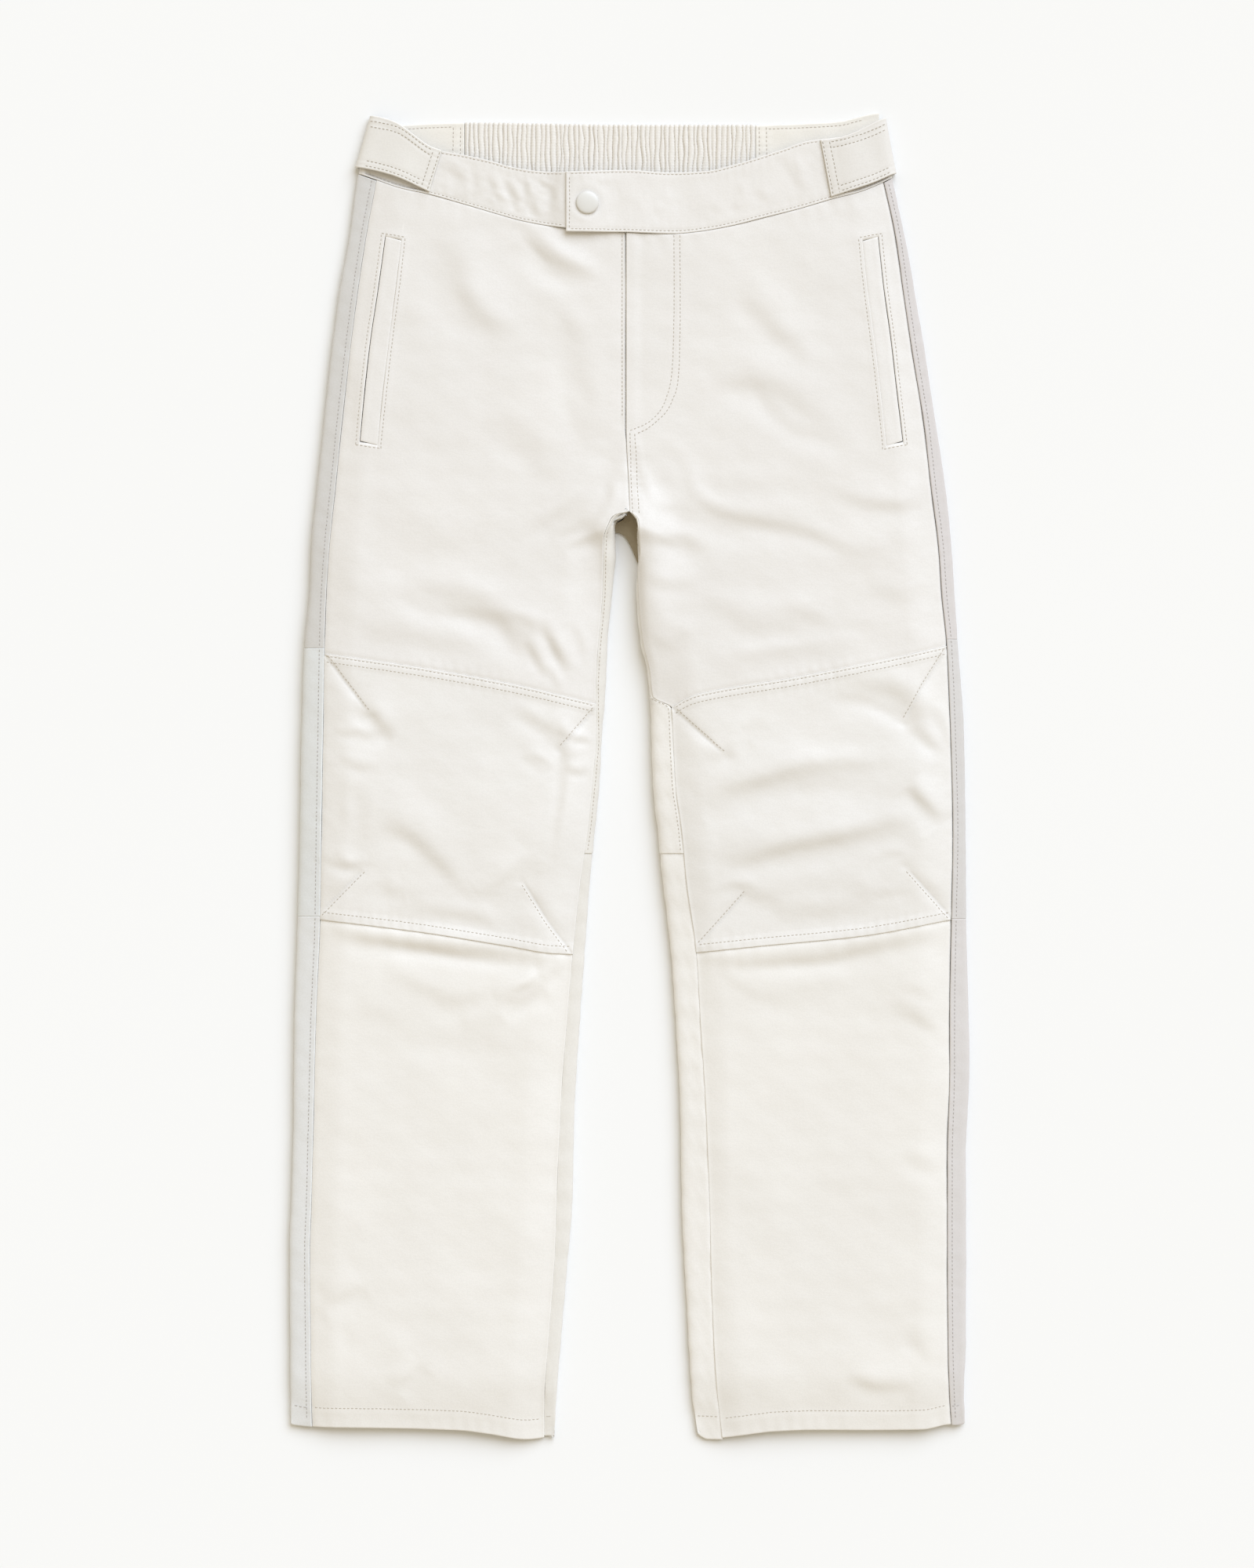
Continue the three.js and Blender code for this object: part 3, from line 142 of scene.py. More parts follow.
HEM = {
    "right": [(-283, -530.2), (-279.5, -535.0), (-262, -537.9), (-207, -538.6), (-140, -540.5),
              (-114, -543.7), (-83, -548.3), (-60, -545.7)],
    "left": [(59, -548.6), (78, -547.1), (94, -545.0), (122, -541.5), (155, -540.2), (205, -540.5),
             (246, -539.8), (268.6, -535.9), (271, -536.8), (280, -534.4)],
}
KNEE_CORNER = {"right": 62.0, "left": 58.6}
STRIPE_SEAMS = {"right": (108.5, -114.0), "left": (115.8, -116.0)}
# rows: y, out, in; then the heights of the slanted ends
POCKETS = {
    "right": dict(
        rows=[(450, 200.7, 186.6), (406, 206.7, 191.6), (364, 213.0, 197.2), (325, 217.4, 201.6),
              (277, 222.0, 206.7)],
        out_top=449.7, in_top=446.4, out_low=280.1, in_low=276.6),
    "left": dict(
        rows=[(450, 208.7, 194.8), (406, 213.4, 199.4), (364, 219.2, 204.9), (325, 223.6, 209.6),
              (277, 229.4, 214.8)],
        out_top=449.7, in_top=445.9, out_low=280.1, in_low=275.9),
}
MOUTH, WELT_SINK = 0.42, 0.10
STRAPS = {
    "right": dict(top=[(-217, 549.0), (-192.4, 543.7), (-161.2, 523.6), (-153.4, 521.0)],
                  low=[(-226.2, 507.3), (-219, 506.4), (-194.4, 500.2), (-163.8, 486.5)],
                  end=(153.4, 163.8)),
    "left": dict(top=[(159.9, 529.6), (169.7, 530.6), (191.1, 535.9), (204.8, 541.1), (218, 547.4)],
                 low=[(168.8, 482.3), (188.5, 488.8), (204.8, 494.6), (220.4, 502.1), (224, 505.2)],
                 end=(160.4, 169.2)),
}
STRAP_BOW, BOW_TO, BAND_PROUD = 1.6, 0.75, 0.4
TAB_FROM, TAB_LIFT, TAB_CORNER_Y = 0.78, BAND + LAY_GAP, 453.1

# Main folds: points along the line, width, height. The pits lie in the dart seams.
FOLDS = [
    ((-153, 450, -134, 394, -97, 362), 15, 1.5), ((-84, 452, -60, 427, -28, 413), 9, 1.7),
    ((-51, 375, -36, 320, -34, 282), 11, 1.0), ((-8, 258, -30, 226, -60, 198), 14, 1.5),
    ((93, 412, 121, 375, 153, 347), 12, 1.2), ((65, 330, 112, 328, 190, 273), 12, 1.4),
    ((28, 273, 52, 222, 125, 212, 195, 185), 12, 1.9), ((176, 232, 212, 226, 246, 229), 8, 1.0),
    ((23, 199, 45, 196, 70, 190), 8, 0.9), ((60, 147, 110, 128, 172, 132), 11, 1.3),
    ((-186, 158, -135, 148, -93, 126, -70, 97), 12, 1.9), ((-70, 134, -58, 108, -46, 88), 5, 1.4),
    ((-224, 68, -207, 48, -190, 37), 9, 1.4), ((-70, 46, -50, 26, -65, -70), 8, 1.5),
    ((-209, -33, -176, -47, -139, -89), 12, 1.3), ((-121, -102, -100, -88, -79, -61), 12, 1.1),
    ((171, 78, 223, 69, 260, 22), 11, 2.0), ((60, -24, 125, 0, 209, 4), 12, 2.0),
    ((79, -66, 149, -56, 241, -37), 11, 1.9), ((232, -5, 246, -20, 260, -38), 8, 1.4),
    ((-246, -130, -153, -140, -60, -149), 7, 1.8), ((60, -152, 172, -145, 264, -126), 9, 1.5),
    ((-69, -170, -88, -180, -106, -189), 8, 1.6), ((-206, -167, -155, -185, -132, -186), 12, 0.9),
    ((-251, -435, -232, -428, -218, -420), 10, 1.0), ((-170, -484, -182, -496, -192, -506), 9, 0.9),
    ((181, -495, 205, -503, 237, -503), 9, 1.0),
]
DART_PITS = [
    (-251, 104, -230, 76, -214, 55), (-27, 58, -42, 42, -55, 26), (-254, -111, -234, -92, -218, -75),
    (-46, -144, -70, -112, -85, -88), (38, 58, 60, 38, 80, 21), (265, 108, 246, 78, 230, 49),
    (60, -137, 80, -114, 99, -93), (269, -116, 250, -94, 232, -75),
]
BUMPS = [
    (-150, -20, 80, 85, 3.0), (160, -20, 80, 85, 3.0), (-130, 330, 70, 90, 1.2), (135, 300, 70, 90, 1.2),
]
# The crotch and the edge of the wearer's left thigh below it stand up from the floor.
LIFTS = [(4, 211, 27, 30, 7.6), (20, 160, 17, 60, 8.0), (-18, 188, 14, 32, 3.6)]

# ---------------------------------------------------------------- smaller forms that only the scene has
# Small folds and wrinkles: points along the line, width, height. A negative height is a plain dip.
WRINKLES = [
    ((-240, 372, -228, 330, -224, 282), 10, 0.5), ((-120, 300, -86, 280, -62, 240), 13, 0.7),
    ((-40, 222, -22, 196, -16, 160), 7, 0.7), ((-12, 246, -14, 232, -22, 218), 4, 0.6),
    ((-210, 205, -150, 196, -96, 206), 18, 0.6), ((-240, 128, -180, 118, -120, 108), 9, 0.6),
    ((-84, 118, -74, 98, -66, 84), 4, 0.7), ((-44, 130, -38, 112, -36, 92), 4, 0.5),
    ((10, 262, 14, 244, 18, 226), 3.5, 0.5), ((20, 236, 40, 208, 64, 176), 12, 0.8),
    ((58, 246, 96, 238, 150, 240), 12, 0.6), ((120, 190, 168, 176, 220, 186), 12, 0.6),
    ((14, 168, 34, 160, 58, 160), 6, 0.5), ((16, 118, 34, 112, 60, 116), 7, 0.6),
    ((196, 158, 222, 150, 250, 156), 8, 0.5), ((88, 96, 140, 104, 196, 108), 8, 0.7),
    ((-236, 44, -214, 36, -196, 40), 5, 0.6), ((-240, 18, -222, 10, -206, 12), 5, 0.5),
    ((-224, 6, -218, -30, -222, -60), 8, 0.5), ((-58, 42, -44, 34, -32, 34), 4, 0.6),
    ((-52, 10, -42, 6, -30, 8), 4, 0.6), ((-96, 60, -76, 48, -62, 40), 6, 0.7),
    ((-88, 20, -76, 14, -66, 4), 5, 0.5), ((-244, -62, -230, -72, -214, -70), 5, 0.7),
    ((-206, -82, -196, -92, -186, -90), 7, 0.6), ((-180, -108, -140, -112, -110, -120), 6, 0.6),
    ((64, 16, 84, 22, 100, 34), 7, 0.6), ((112, 52, 96, 40, 88, 24), 6, 0.5),
    ((82, -88, 104, -96, 130, -98), 7, 0.6), ((176, -92, 200, -96, 214, -88), 9, 0.6),
    ((120, -112, 160, -110, 210, -106), 8, 0.5), ((252, 62, 262, 44, 266, 26), 5, 0.6),
    ((-232, -184, -170, -208, -96, -214), 13, 0.7), ((-110, -176, -132, -184, -160, -188), 7, 0.6),
    ((-72, -160, -82, -170, -96, -176), 3.5, 0.8), ((84, -172, 140, -176, 196, -164), 12, 0.6),
    ((216, -186, 238, -196, 258, -206), 9, 0.7), ((228, -308, 244, -318, 262, -328), 8, 0.5),
    ((230, -452, 244, -466, 254, -488), 10, 0.6), ((-206, -470, -190, -478, -176, -472), 10, 0.5),
    ((-246, -458, -236, -452, -226, -452), 8, 0.4), ((96, -380, 110, -330, 108, -280), 16, 0.4),
    ((-190, -300, -184, -350, -190, -400), 18, 0.4),
]
# The edge of the seat between the legs, whose dark colour is painted shade: how far down it hangs, how far
# it tucks under and rises.
SEAT = dict(top=222.0, low_right=204.5, low_left=165.0, tuck=3.5, tuck_left=8.5, spread=1.1, rise=2.0)
# The hide turns a little inside the plain form's outer side: rows of y and how far.
SLIM = {"right": [(549, 0.0), (500, 0.0), (451, 0.8), (347, 1.9), (243, 2.6), (35, 3.4), (-549, 3.0)],
        "left": [(549, 0.0), (451, -0.4), (243, -0.9), (-549, -1.0)]}
HEM_SINK, HEM_SOFT = 6.0, 58.0
STRAP_UP = dict(right=2.6, left=3.6)
# Sharp creases along the folds: points along the line where it is steepest, width, height.
CREASES = [
    ((-112, 468, -85, 456, -71, 442, -57, 431, -36, 421, -22, 412), 5.0, 0.55),
    ((-88, 452, -72, 436, -60, 424), 3.0, 0.35), ((-144, 449, -137, 407, -117, 378, -92, 361), 7.0, 0.5),
    ((-58, 392, -44, 370, -30, 356), 7.0, 0.5), ((-52, 332, -44, 300, -34, 276), 6.0, 0.4),
    ((-4, 262, -13, 244, -22, 226, -25, 200), 5.0, 0.8),
    ((-21, 262, -33, 244, -50, 226, -75, 208, -90, 194), 6.0, 0.7),
    ((-40, 252, -56, 238, -70, 230), 5.0, 0.35), ((-16, 214, -30, 200, -52, 190), 4.0, 0.5),
    ((-30, 216, -46, 206, -60, 202), 3.5, 0.4), ((90, 408, 113, 382, 135, 359, 160, 339), 7.0, 0.5),
    ((71, 325, 106, 327, 117, 311, 135, 293, 163, 282, 188, 268), 6.0, 0.7),
    ((18, 277, 39, 272, 49, 254, 53, 240, 67, 226, 96, 215, 124, 210, 152, 203, 174, 194, 191, 188,
      227, 194), 5.5, 0.95),
    ((167, 238, 198, 229, 227, 226, 248, 229), 5.0, 0.55), ((150, 262, 172, 252, 190, 250), 5.0, 0.3),
    ((25, 197, 46, 199, 67, 187), 5.0, 0.5), ((20, 228, 30, 224, 44, 226), 4.0, 0.35),
    ((114, 143, 143, 138, 167, 129, 206, 126, 220, 119), 6.0, 0.55),
    ((22, 131, 46, 121, 63, 126), 5.0, 0.45), ((90, 100, 120, 106, 160, 108), 4.5, 0.35),
    ((-189, 155, -167, 142, -129, 137, -105, 131, -93, 112, -69, 99), 6.0, 0.75),
    ((-74, 133, -63, 113, -48, 82), 3.5, 0.5), ((-111, 139, -81, 130, -68, 113), 4.5, 0.5),
    ((-66, 95, -54, 69), 3.0, 0.3), ((-220, 61, -204, 45, -191, 33), 5.0, 0.5),
    ((-244, 40, -231, 37, -218, 40), 3.5, 0.4), ((-232, 11, -235, -23, -232, -47), 5.0, 0.35),
    ((-55, 52, -53, 25, -53, -6, -57, -45, -63, -88), 4.5, 0.7), ((-47, 33, -36, 32, -26, 30), 3.0, 0.35),
    ((-79, 20, -70, 16, -62, 8), 3.5, 0.4),
    ((-212, -40, -186, -45, -159, -67, -133, -93, -120, -99), 6.0, 0.6),
    ((-120, -99, -98, -80, -81, -62), 5.0, 0.5), ((-251, -66, -240, -72, -229, -71, -221, -66), 3.5, 0.4),
    ((166, 69, 196, 65, 218, 56, 229, 49), 5.0, 0.65), ((236, 45, 249, 32, 262, 21), 5.0, 0.8),
    ((59, -16, 109, -3, 144, 8, 183, 12, 218, 8), 6.0, 0.65), ((231, -5, 244, -18, 262, -36), 4.5, 0.6),
    ((65, -57, 92, -70, 131, -57, 175, -49, 210, -40, 240, -34), 6.0, 0.65),
    ((201, -70, 218, -62, 231, -62), 4.0, 0.45), ((65, -97, 92, -88, 105, -93), 4.5, 0.45),
    ((203, -96, 232, -93), 4.0, 0.3),
    ((-249, -126, -196, -136, -167, -140, -124, -148, -76, -153), 4.0, 0.5),
    ((-50, -153, -69, -167, -88, -189, -98, -198), 4.0, 0.6),
    ((-208, -157, -172, -172, -136, -184), 6.0, 0.3),
    ((63, -149, 90, -153, 128, -151, 167, -149, 198, -141, 266, -129), 4.5, 0.55),
    ((66, -146, 95, -173, 128, -187), 5.0, 0.35), ((223, -173, 240, -176, 254, -182), 5.0, 0.4),
    ((235, -194, 248, -204, 261, -211), 4.5, 0.35), ((-251, -435, -232, -428, -218, -420), 4.5, 0.3),
    ((-170, -484, -182, -496, -192, -506), 4.5, 0.4), ((181, -495, 205, -503, 237, -503), 4.5, 0.4),
    ((230, -462, 244, -474, 252, -486), 5.0, 0.4),
]
# Creases of the waistband: points, width, height.
BAND_CREASES = [
    ((-153, 512, -137, 497, -142, 482), 5.0, 0.40), ((-115, 502, -110, 489, -117, 479), 3.6, 0.38),
    ((-100, 497, -95, 487, -88, 474), 3.4, 0.42), ((-85, 497, -82, 487, -85, 474), 3.0, 0.40),
    ((-75, 485, -77, 474, -73, 465), 3.2, 0.40), ((-63, 494, -60, 482, -63, 470), 3.4, 0.42),
    ((-70, 497, -67, 489), 2.4, 0.25), ((-91, 479, -93, 470), 2.6, 0.28),
    ((-107, 487, -104, 477), 3.0, 0.25), ((-128, 508, -124, 494, -127, 486), 4.0, 0.22),
    ((91, 496, 94, 486, 90, 475, 92, 470), 3.8, 0.42), ((109, 489, 114, 478), 4.0, 0.35),
    ((127, 520, 133, 509, 143, 494, 146, 486), 4.2, 0.50), ((136, 521, 140, 509, 146, 499), 3.2, 0.35),
    ((156, 522, 157, 512), 3.0, 0.30), ((21, 473, 29, 468), 4.0, 0.20), ((42, 483, 34, 475), 5.0, 0.22),
    ((70, 478, 76, 468), 4.0, 0.20), ((-30, 500, -20, 494, -8, 497), 3.0, 0.18),
    ((-18, 466, -10, 474, -4, 484), 4.0, 0.20), ((-46, 470, -40, 463, -30, 460), 3.0, 0.16),
    ((4, 462, 10, 470, 8, 482), 4.0, 0.20),
]
# Dimples at the tips of the darts: centre, reach, depth
DIMPLES = [
    (-211, 51, 5, 0.8), (-57, 24, 4, 0.8), (-215, -72, 4, 0.4), (-87, -86, 3.5, 0.5), (83, 18, 5, 0.8),
    (229, 46, 4, 0.9), (101, -91, 4, 0.4), (231, -73, 4, 0.6),
]
# Dart seams: from the corner of the knee panel to the tip.
DARTS = {
    "right": [((-251, 103.5), (-214.5, 55.5)), ((-26.6, 58.2), (-54.6, 25.7)),
              ((-254.2, -111.5), (-217.8, -74.5)),
              ((-46.2, -144.6), (-66, -118), (-83.2, -90), (-86, -85.5))],
    "left": [((37.7, 58.8), (80, 21)), ((265.9, 109.5), (246, 78), (230.1, 49)),
             ((60.5, -136.8), (99.5, -93.3)), ((269.8, -116.6), (232, -74.4))],
}


# ---------------------------------------------------------------- small maths
def ease(t):
    c = np.clip(t, 0.0, 1.0)
    return c * c * (3 - 2 * c)


def mix(a, b, t):
    return a + (b - a) * t


def bell(t):
    return np.exp(-t ** 2)


def by_blocks(u, places):
    """The value at u, which counts from place to place: 0 at the first, 1 at the second and so on."""
    last = len(places) - 2
    value = mix(places[last], places[last + 1], np.clip(u - last, 0, 1))
    for i in range(last)[::-1]:
        value = np.where(u <= i + 1, mix(places[i], places[i + 1], np.clip(u - i, 0, 1)), value)
    return value


def curve(points):
    """A smooth curve through the points that never overshoots them."""
    xs, ys = np.array(sorted(points), float).T
    slopes = np.diff(ys) / np.diff(xs)
    tangents = np.concatenate([slopes[:1], np.zeros(len(xs) - 2), slopes[-1:]])
    for i in range(1, len(xs) - 1):
        a, b = slopes[i - 1], slopes[i]
        tangents[i] = 0 if a * b <= 0 else 2 * a * b / (a + b)

    def value(key):
        key = np.asarray(key, float)
        i = np.clip(np.searchsorted(xs, key) - 1, 0, len(xs) - 2)
        h = xs[i + 1] - xs[i]
        t = np.clip((key - xs[i]) / h, 0, 1)
        t2, t3 = t * t, t * t * t
        return ((2 * t3 - 3 * t2 + 1) * ys[i] + (t3 - 2 * t2 + t) * h * tangents[i]
                + (3 * t2 - 2 * t3) * ys[i + 1] + (t3 - t2) * h * tangents[i + 1])

    return value


def column(rows, index):
    return curve([(row[0], row[index]) for row in rows])


def smooth_path(flat, steps=12):
    """Centripetal Catmull-Rom through x, y pairs."""
    knots = np.array(flat, float).reshape(-1, 2)
    n = len(knots)
    out = []
    for k in range(steps + 1):
        place = (n - 1) * k / steps
        i = min(int(place), n - 2)
        w = place - i
        p1, p2 = knots[i], knots[i + 1]
        p0 = knots[i - 1] if i > 0 else 2 * p1 - p2
        p3 = knots[i + 2] if i + 2 < n else 2 * p2 - p1
        d0, d1, d2 = (math.hypot(*(b - a)) ** 0.5 for a, b in ((p0, p1), (p1, p2), (p2, p3)))
        t1 = ((p1 - p0) / d0 - (p2 - p0) / (d0 + d1) + (p2 - p1) / d1) * d1
        t2 = ((p2 - p1) / d1 - (p3 - p1) / (d1 + d2) + (p3 - p2) / d2) * d1
        out.append(p1 + t1 * w + (-3 * p1 + 3 * p2 - 2 * t1 - t2) * w * w
                   + (2 * p1 - 2 * p2 + t1 + t2) * w ** 3)
    return np.array(out)


def near_path(path, x, y):
    """Distance to a path, its side (+ is left of its direction) and the share along it."""
    best = np.full(x.shape, np.inf)
    along, side = np.zeros(x.shape), np.ones(x.shape)
    for i in range(len(path) - 1):
        px, py = path[i]
        dx, dy = path[i + 1] - path[i]
        t = np.clip(((x - px) * dx + (y - py) * dy) / (dx * dx + dy * dy), 0, 1)
        ex, ey = x - px - t * dx, y - py - t * dy
        far = np.hypot(ex, ey)
        closer = far < best
        best = np.where(closer, far, best)
        along = np.where(closer, (i + t) / (len(path) - 1), along)
        side = np.where(closer, np.sign(ex * -dy + ey * dx), side)
    return best, side, along


def within(path, reach, x, y):
    low, top = path.min(0) - reach, path.max(0) + reach
    return (x > low[0]) & (x < top[0]) & (y > low[1]) & (y < top[1])


class Fold:
    """One fold of the hide: lit on one side and shaded on the other, or a plain dip."""

    def __init__(self, flat, wide, high, steps=12):
        self.path = smooth_path(flat, steps)
        self.wide, self.high = wide, high
        run = self.path[-1] - self.path[0]
        self.lit = np.sign(-LIGHT_SIDE[0] * run[1] + LIGHT_SIDE[1] * run[0])

    def add(self, x, y, total):
        near = within(self.path, self.wide * 3, x, y)
        if not near.any():
            return
        best, side, along = near_path(self.path, x[near], y[near])
        taper = np.sin(math.pi * np.clip(along, 0, 1)) ** 0.8
        d = best / self.wide
        if self.high < 0:
            total[near] += self.high * taper * np.exp(-d * d)
        else:
            total[near] += side * self.lit * self.high * taper * d * np.exp(0.5 - 0.5 * d * d)


def with_folds(folds, x, y):
    total = np.zeros(x.shape)
    for fold in folds:
        fold.add(x, y, total)
    return total


def softened(path, high):
    """Folds of the left thigh, and the short one above the right knee, lie flatter in the hide."""
    share = 0.78 if path[0] > 0 and path[1] > 120 else 0.75 if path[:2] == (-70, 134) else 0.94
    return high * share


def eased(path, high):
    """Creases of the left thigh and knee are softer than the others."""
    return high * (0.5 if path[0] > 0 and path[1] > 80 else 0.74)


PIT_WIDE, PIT_HIGH = 5, -1.3
main_folds = [Fold(path, wide, softened(path, high)) for path, wide, high in FOLDS]
main_folds += [Fold(path, PIT_WIDE, PIT_HIGH) for path in DART_PITS]
small_folds = [Fold(*row) for row in WRINKLES]
small_folds += [Fold(path, wide, eased(path, high), steps=24) for path, wide, high in CREASES]
band_folds = [Fold(*row) for row in BAND_CREASES]


def with_mounds(total, rows, x, y):
    for bx, by, across, along, high in rows:
        total = total + high * np.exp(-((x - bx) / across) ** 2 - ((y - by) / along) ** 2)
    return total


def rolling(x, y, length, seed):
    """Soft uneven rises and hollows of about this length, in no regular order."""
    pick = np.random.default_rng(100 + seed)
    total = np.zeros(np.shape(x))
    for _ in range(9):
        turn, phase = pick.uniform(0, 2 * math.pi, 2)
        k = 2 * math.pi / (length * pick.uniform(0.75, 1.6))
        total = total + np.sin(k * (x * math.cos(turn) + y * math.sin(turn)) + phase)
    return total / 2.1


def wave(x, y, length, seed):
    """A smooth wandering value between about -1 and 1, with no repeat that shows."""
    a = 2 * math.pi / length
    s = seed * 1.7
    return (np.sin(a * (x + 0.37 * y) + s) + np.sin(a * 0.73 * (y - 0.41 * x) + 2.1 * s)
            + np.sin(a * 1.31 * (0.8 * x + 0.6 * y) + 0.6 * s)) / 2.4


# ---------------------------------------------------------------- the folded surface
crown_at, waist_at, roll_at, split_at = (column(HEIGHTS, i) for i in (1, 2, 3, 4))
EDGE_DROP, SHOULDER, HIP_REACH, CREASE_FADE, FOOT, APART_ROLL = 0.34, 42.0, 80.0, 16.0, 4.6, 9.0
NOTHING, ROLL_SHAPE, LEG_END, BACK_RISE = 0.01, 0.56, -549.0, 1.3
HALF_PI = math.pi / 2


def quarter(rx, rz):
    return HALF_PI * np.sqrt((rx * rx + rz * rz) / 2)


class Leg:
    """One leg as a flattened tube. q runs round it: 0 at the outer side, up over the front to the inner
    side, then down and back over the floor; below 0 it runs down the outer side on to the floor."""

    def __init__(self, name):
        self.name = name
        self.sign = -1.0 if name == "right" else 1.0
        wide_at, slim_at = column(SIDES[name], 1), column(SLIM[name], 1)
        self.outer_at, self.stripe_at = lambda y: wide_at(y) - slim_at(y), column(SIDES[name], 2)
        self.inner_at, self.seam_at = column(INSIDES[name], 1), column(INSIDES[name], 2)

    def top_at(self, a, y):
        from_outer = self.outer_at(y) - a
        from_inner = a - self.inner_at(y) + (1 - split_at(y)) * HIP_REACH
        shape, fade = (ease(from_outer / far) * ease(from_inner / far) for far in (SHOULDER, CREASE_FADE))
        height = crown_at(y) * (1 - EDGE_DROP + EDGE_DROP * shape)
        height = height - HEM_SINK * (1 - ease((y - LEG_END) / HEM_SOFT))
        x, y = np.broadcast_arrays(self.sign * a, y)
        folds = with_mounds(with_folds(main_folds, x, y), BUMPS, x, y)
        return height + folds * fade + with_mounds(0.0, LIFTS, x, y)

    def frame_at(self, y):
        f = SimpleNamespace()
        f.outer, f.inner = self.outer_at(y), self.inner_at(y)
        split = split_at(y)
        f.low, f.roll = waist_at(y), roll_at(y)
        f.inner_roll = np.maximum(NOTHING, APART_ROLL * split)
        f.inner_foot = np.maximum(NOTHING, FOOT * split)
        edge = crown_at(y) * (1 - EDGE_DROP) - f.low
        f.arc, f.inner_arc = quarter(f.roll, edge), quarter(f.inner_roll, edge)
        f.under, f.inner_under = quarter(FOOT, f.low), quarter(f.inner_foot, f.low)
        f.flat = f.outer - f.inner - f.roll - f.inner_roll
        f.top = f.arc + f.flat + f.inner_arc
        f.round = f.top + f.inner_under
        return f

    def point(self, y, q):
        y, q = np.broadcast_arrays(np.asarray(y, float), np.asarray(q, float))
        f = self.frame_at(y)
        rounds = (-q / f.under, q / f.arc, (f.top - q) / f.inner_arc,
                  (q - f.top) / f.inner_under)
        t_low, t_arc, t_in, t_down = (np.clip(share, 0, 1) * HALF_PI for share in rounds)
        cases = [q < -f.under, q < 0, q < f.arc, q <= f.arc + f.flat, q < f.top,
                 q < f.round]
        a = np.select(cases, [
            f.outer - FOOT + q + f.under,
            f.outer - FOOT * (1 - np.cos(t_low)),
            f.outer - f.roll * (1 - np.cos(t_arc)),
            f.outer - f.roll - (q - f.arc),
            f.inner + f.inner_roll * (1 - np.cos(t_in)),
            f.inner + f.inner_foot * (1 - np.cos(t_down)),
        ], f.inner + f.inner_foot + (q - f.round))
        top = self.top_at(a, y)
        z = np.select(cases, [
            np.zeros_like(a), f.low * (1 - np.sin(t_low)),
            f.low + (top - f.low) * np.sin(t_arc) ** ROLL_SHAPE, top,
            f.low + (top - f.low) * np.sin(t_in) ** ROLL_SHAPE, f.low * (1 - np.sin(t_down)),
        ], 0.0)
        return np.stack([self.sign * a, y, z], -1)

    def on_front(self, y, a):
        f = self.frame_at(y)
        from_outer, from_inner = f.outer - a, a - f.inner
        near_out = f.arc * np.arccos(np.clip(1 - from_outer / f.roll, 0, 1)) / HALF_PI
        near_in = f.top - f.inner_arc * np.arccos(
            np.clip(1 - from_inner / f.inner_roll, 0, 1)) / HALF_PI
        flat = f.arc + from_outer - f.roll
        return np.where(from_outer < f.roll, near_out,
                        np.where(from_inner < f.inner_roll, near_in, flat))


LEGS = {name: Leg(name) for name in ("right", "left")}
right, left = LEGS.values()
band_low, band_top, back_band_low = curve(BAND_LOW), curve(BAND_TOP), curve(BACK_BAND_LOW)
back_band_top = curve([(x, y + BACK_RISE) for x, y in BACK_BAND_TOP])
SETTLE_ROUNDS, SETTLE_SHARE, START_Y = 40, 0.45, 500.0


def seam_y(leg, line_at, across, u, start):
    """Heights at which the columns u of a panel meet a seam line."""
    y = np.full(u.shape, float(start))
    for _ in range(SETTLE_ROUNDS):
        y = mix(y, line_at(leg.point(y, across(y, u))[..., 0]), SETTLE_SHARE)
    return y


# ---------------------------------------------------------------- grids and shells
FINE = (0.3, 0.8, 1.5, 2.6)


def steps(length, pitch, head=True, tail=True, fine=FINE):
    """Places from 0 to length, about pitch apart, closer together at an edge; an even number of gaps."""
    first = [f for f in fine if f < length / 3] if head else []
    last = [length - f for f in fine if f < length / 3] if tail else []
    start, end = (first[-1] if first else 0.0), (last[-1] if last else length)
    count = max(2, int(round((end - start) / pitch)))
    if (count + len(first) + len(last)) % 2:
        count += 1
    body = list(np.linspace(start, end, count + 1))
    head_places = [0.0] + first[:-1] if first else []
    tail_places = last[:-1][::-1] + [length] if last else []
    return np.array(head_places + body + tail_places)


def shares(length, pitch, **how):
    """The same places as shares of the length, 0 to 1."""
    places = steps(length, pitch, **how)
    return places / places[-1]


def grid(length, v_pitch, width, u_pitch):
    return shares(length, v_pitch)[:, None], shares(width, u_pitch)[None]


def rows_between(top, low, pitch):
    return mix(top[None], low[None], shares(float(np.mean(top - low)), pitch)[:, None])


def rows_past_crotch(top, low, above, below, above_fine, below_fine):
    """Rows of heights from top to low, one of them along the crotch."""
    high = shares(top[-1] - CROTCH_Y, above, fine=above_fine)
    deep = shares(CROTCH_Y - low[-1], below, fine=below_fine)
    v = np.concatenate([high * 0.5, 0.5 + deep[1:] * 0.5])[:, None]
    return np.where(v <= 0.5, mix(top[None], CROTCH_Y, v * 2), mix(CROTCH_Y, low[None], v * 2 - 1))


def grid_normals(points, column=None, up=True):
    """Normals of a grid, turned so that they point up (or down) in the middle of the given column."""
    n = np.cross(np.gradient(points, axis=1), np.gradient(points, axis=0))
    n /= np.maximum(np.linalg.norm(n, axis=-1, keepdims=True), 1e-9)
    column = int(points.shape[1] * 0.8) if column is None else column
    return n if (n[len(n) // 2, column, 2] > 0) == up else -n


def spans(points):
    return (np.linalg.norm(np.diff(points, axis=axis), axis=-1) for axis in (1, 0))


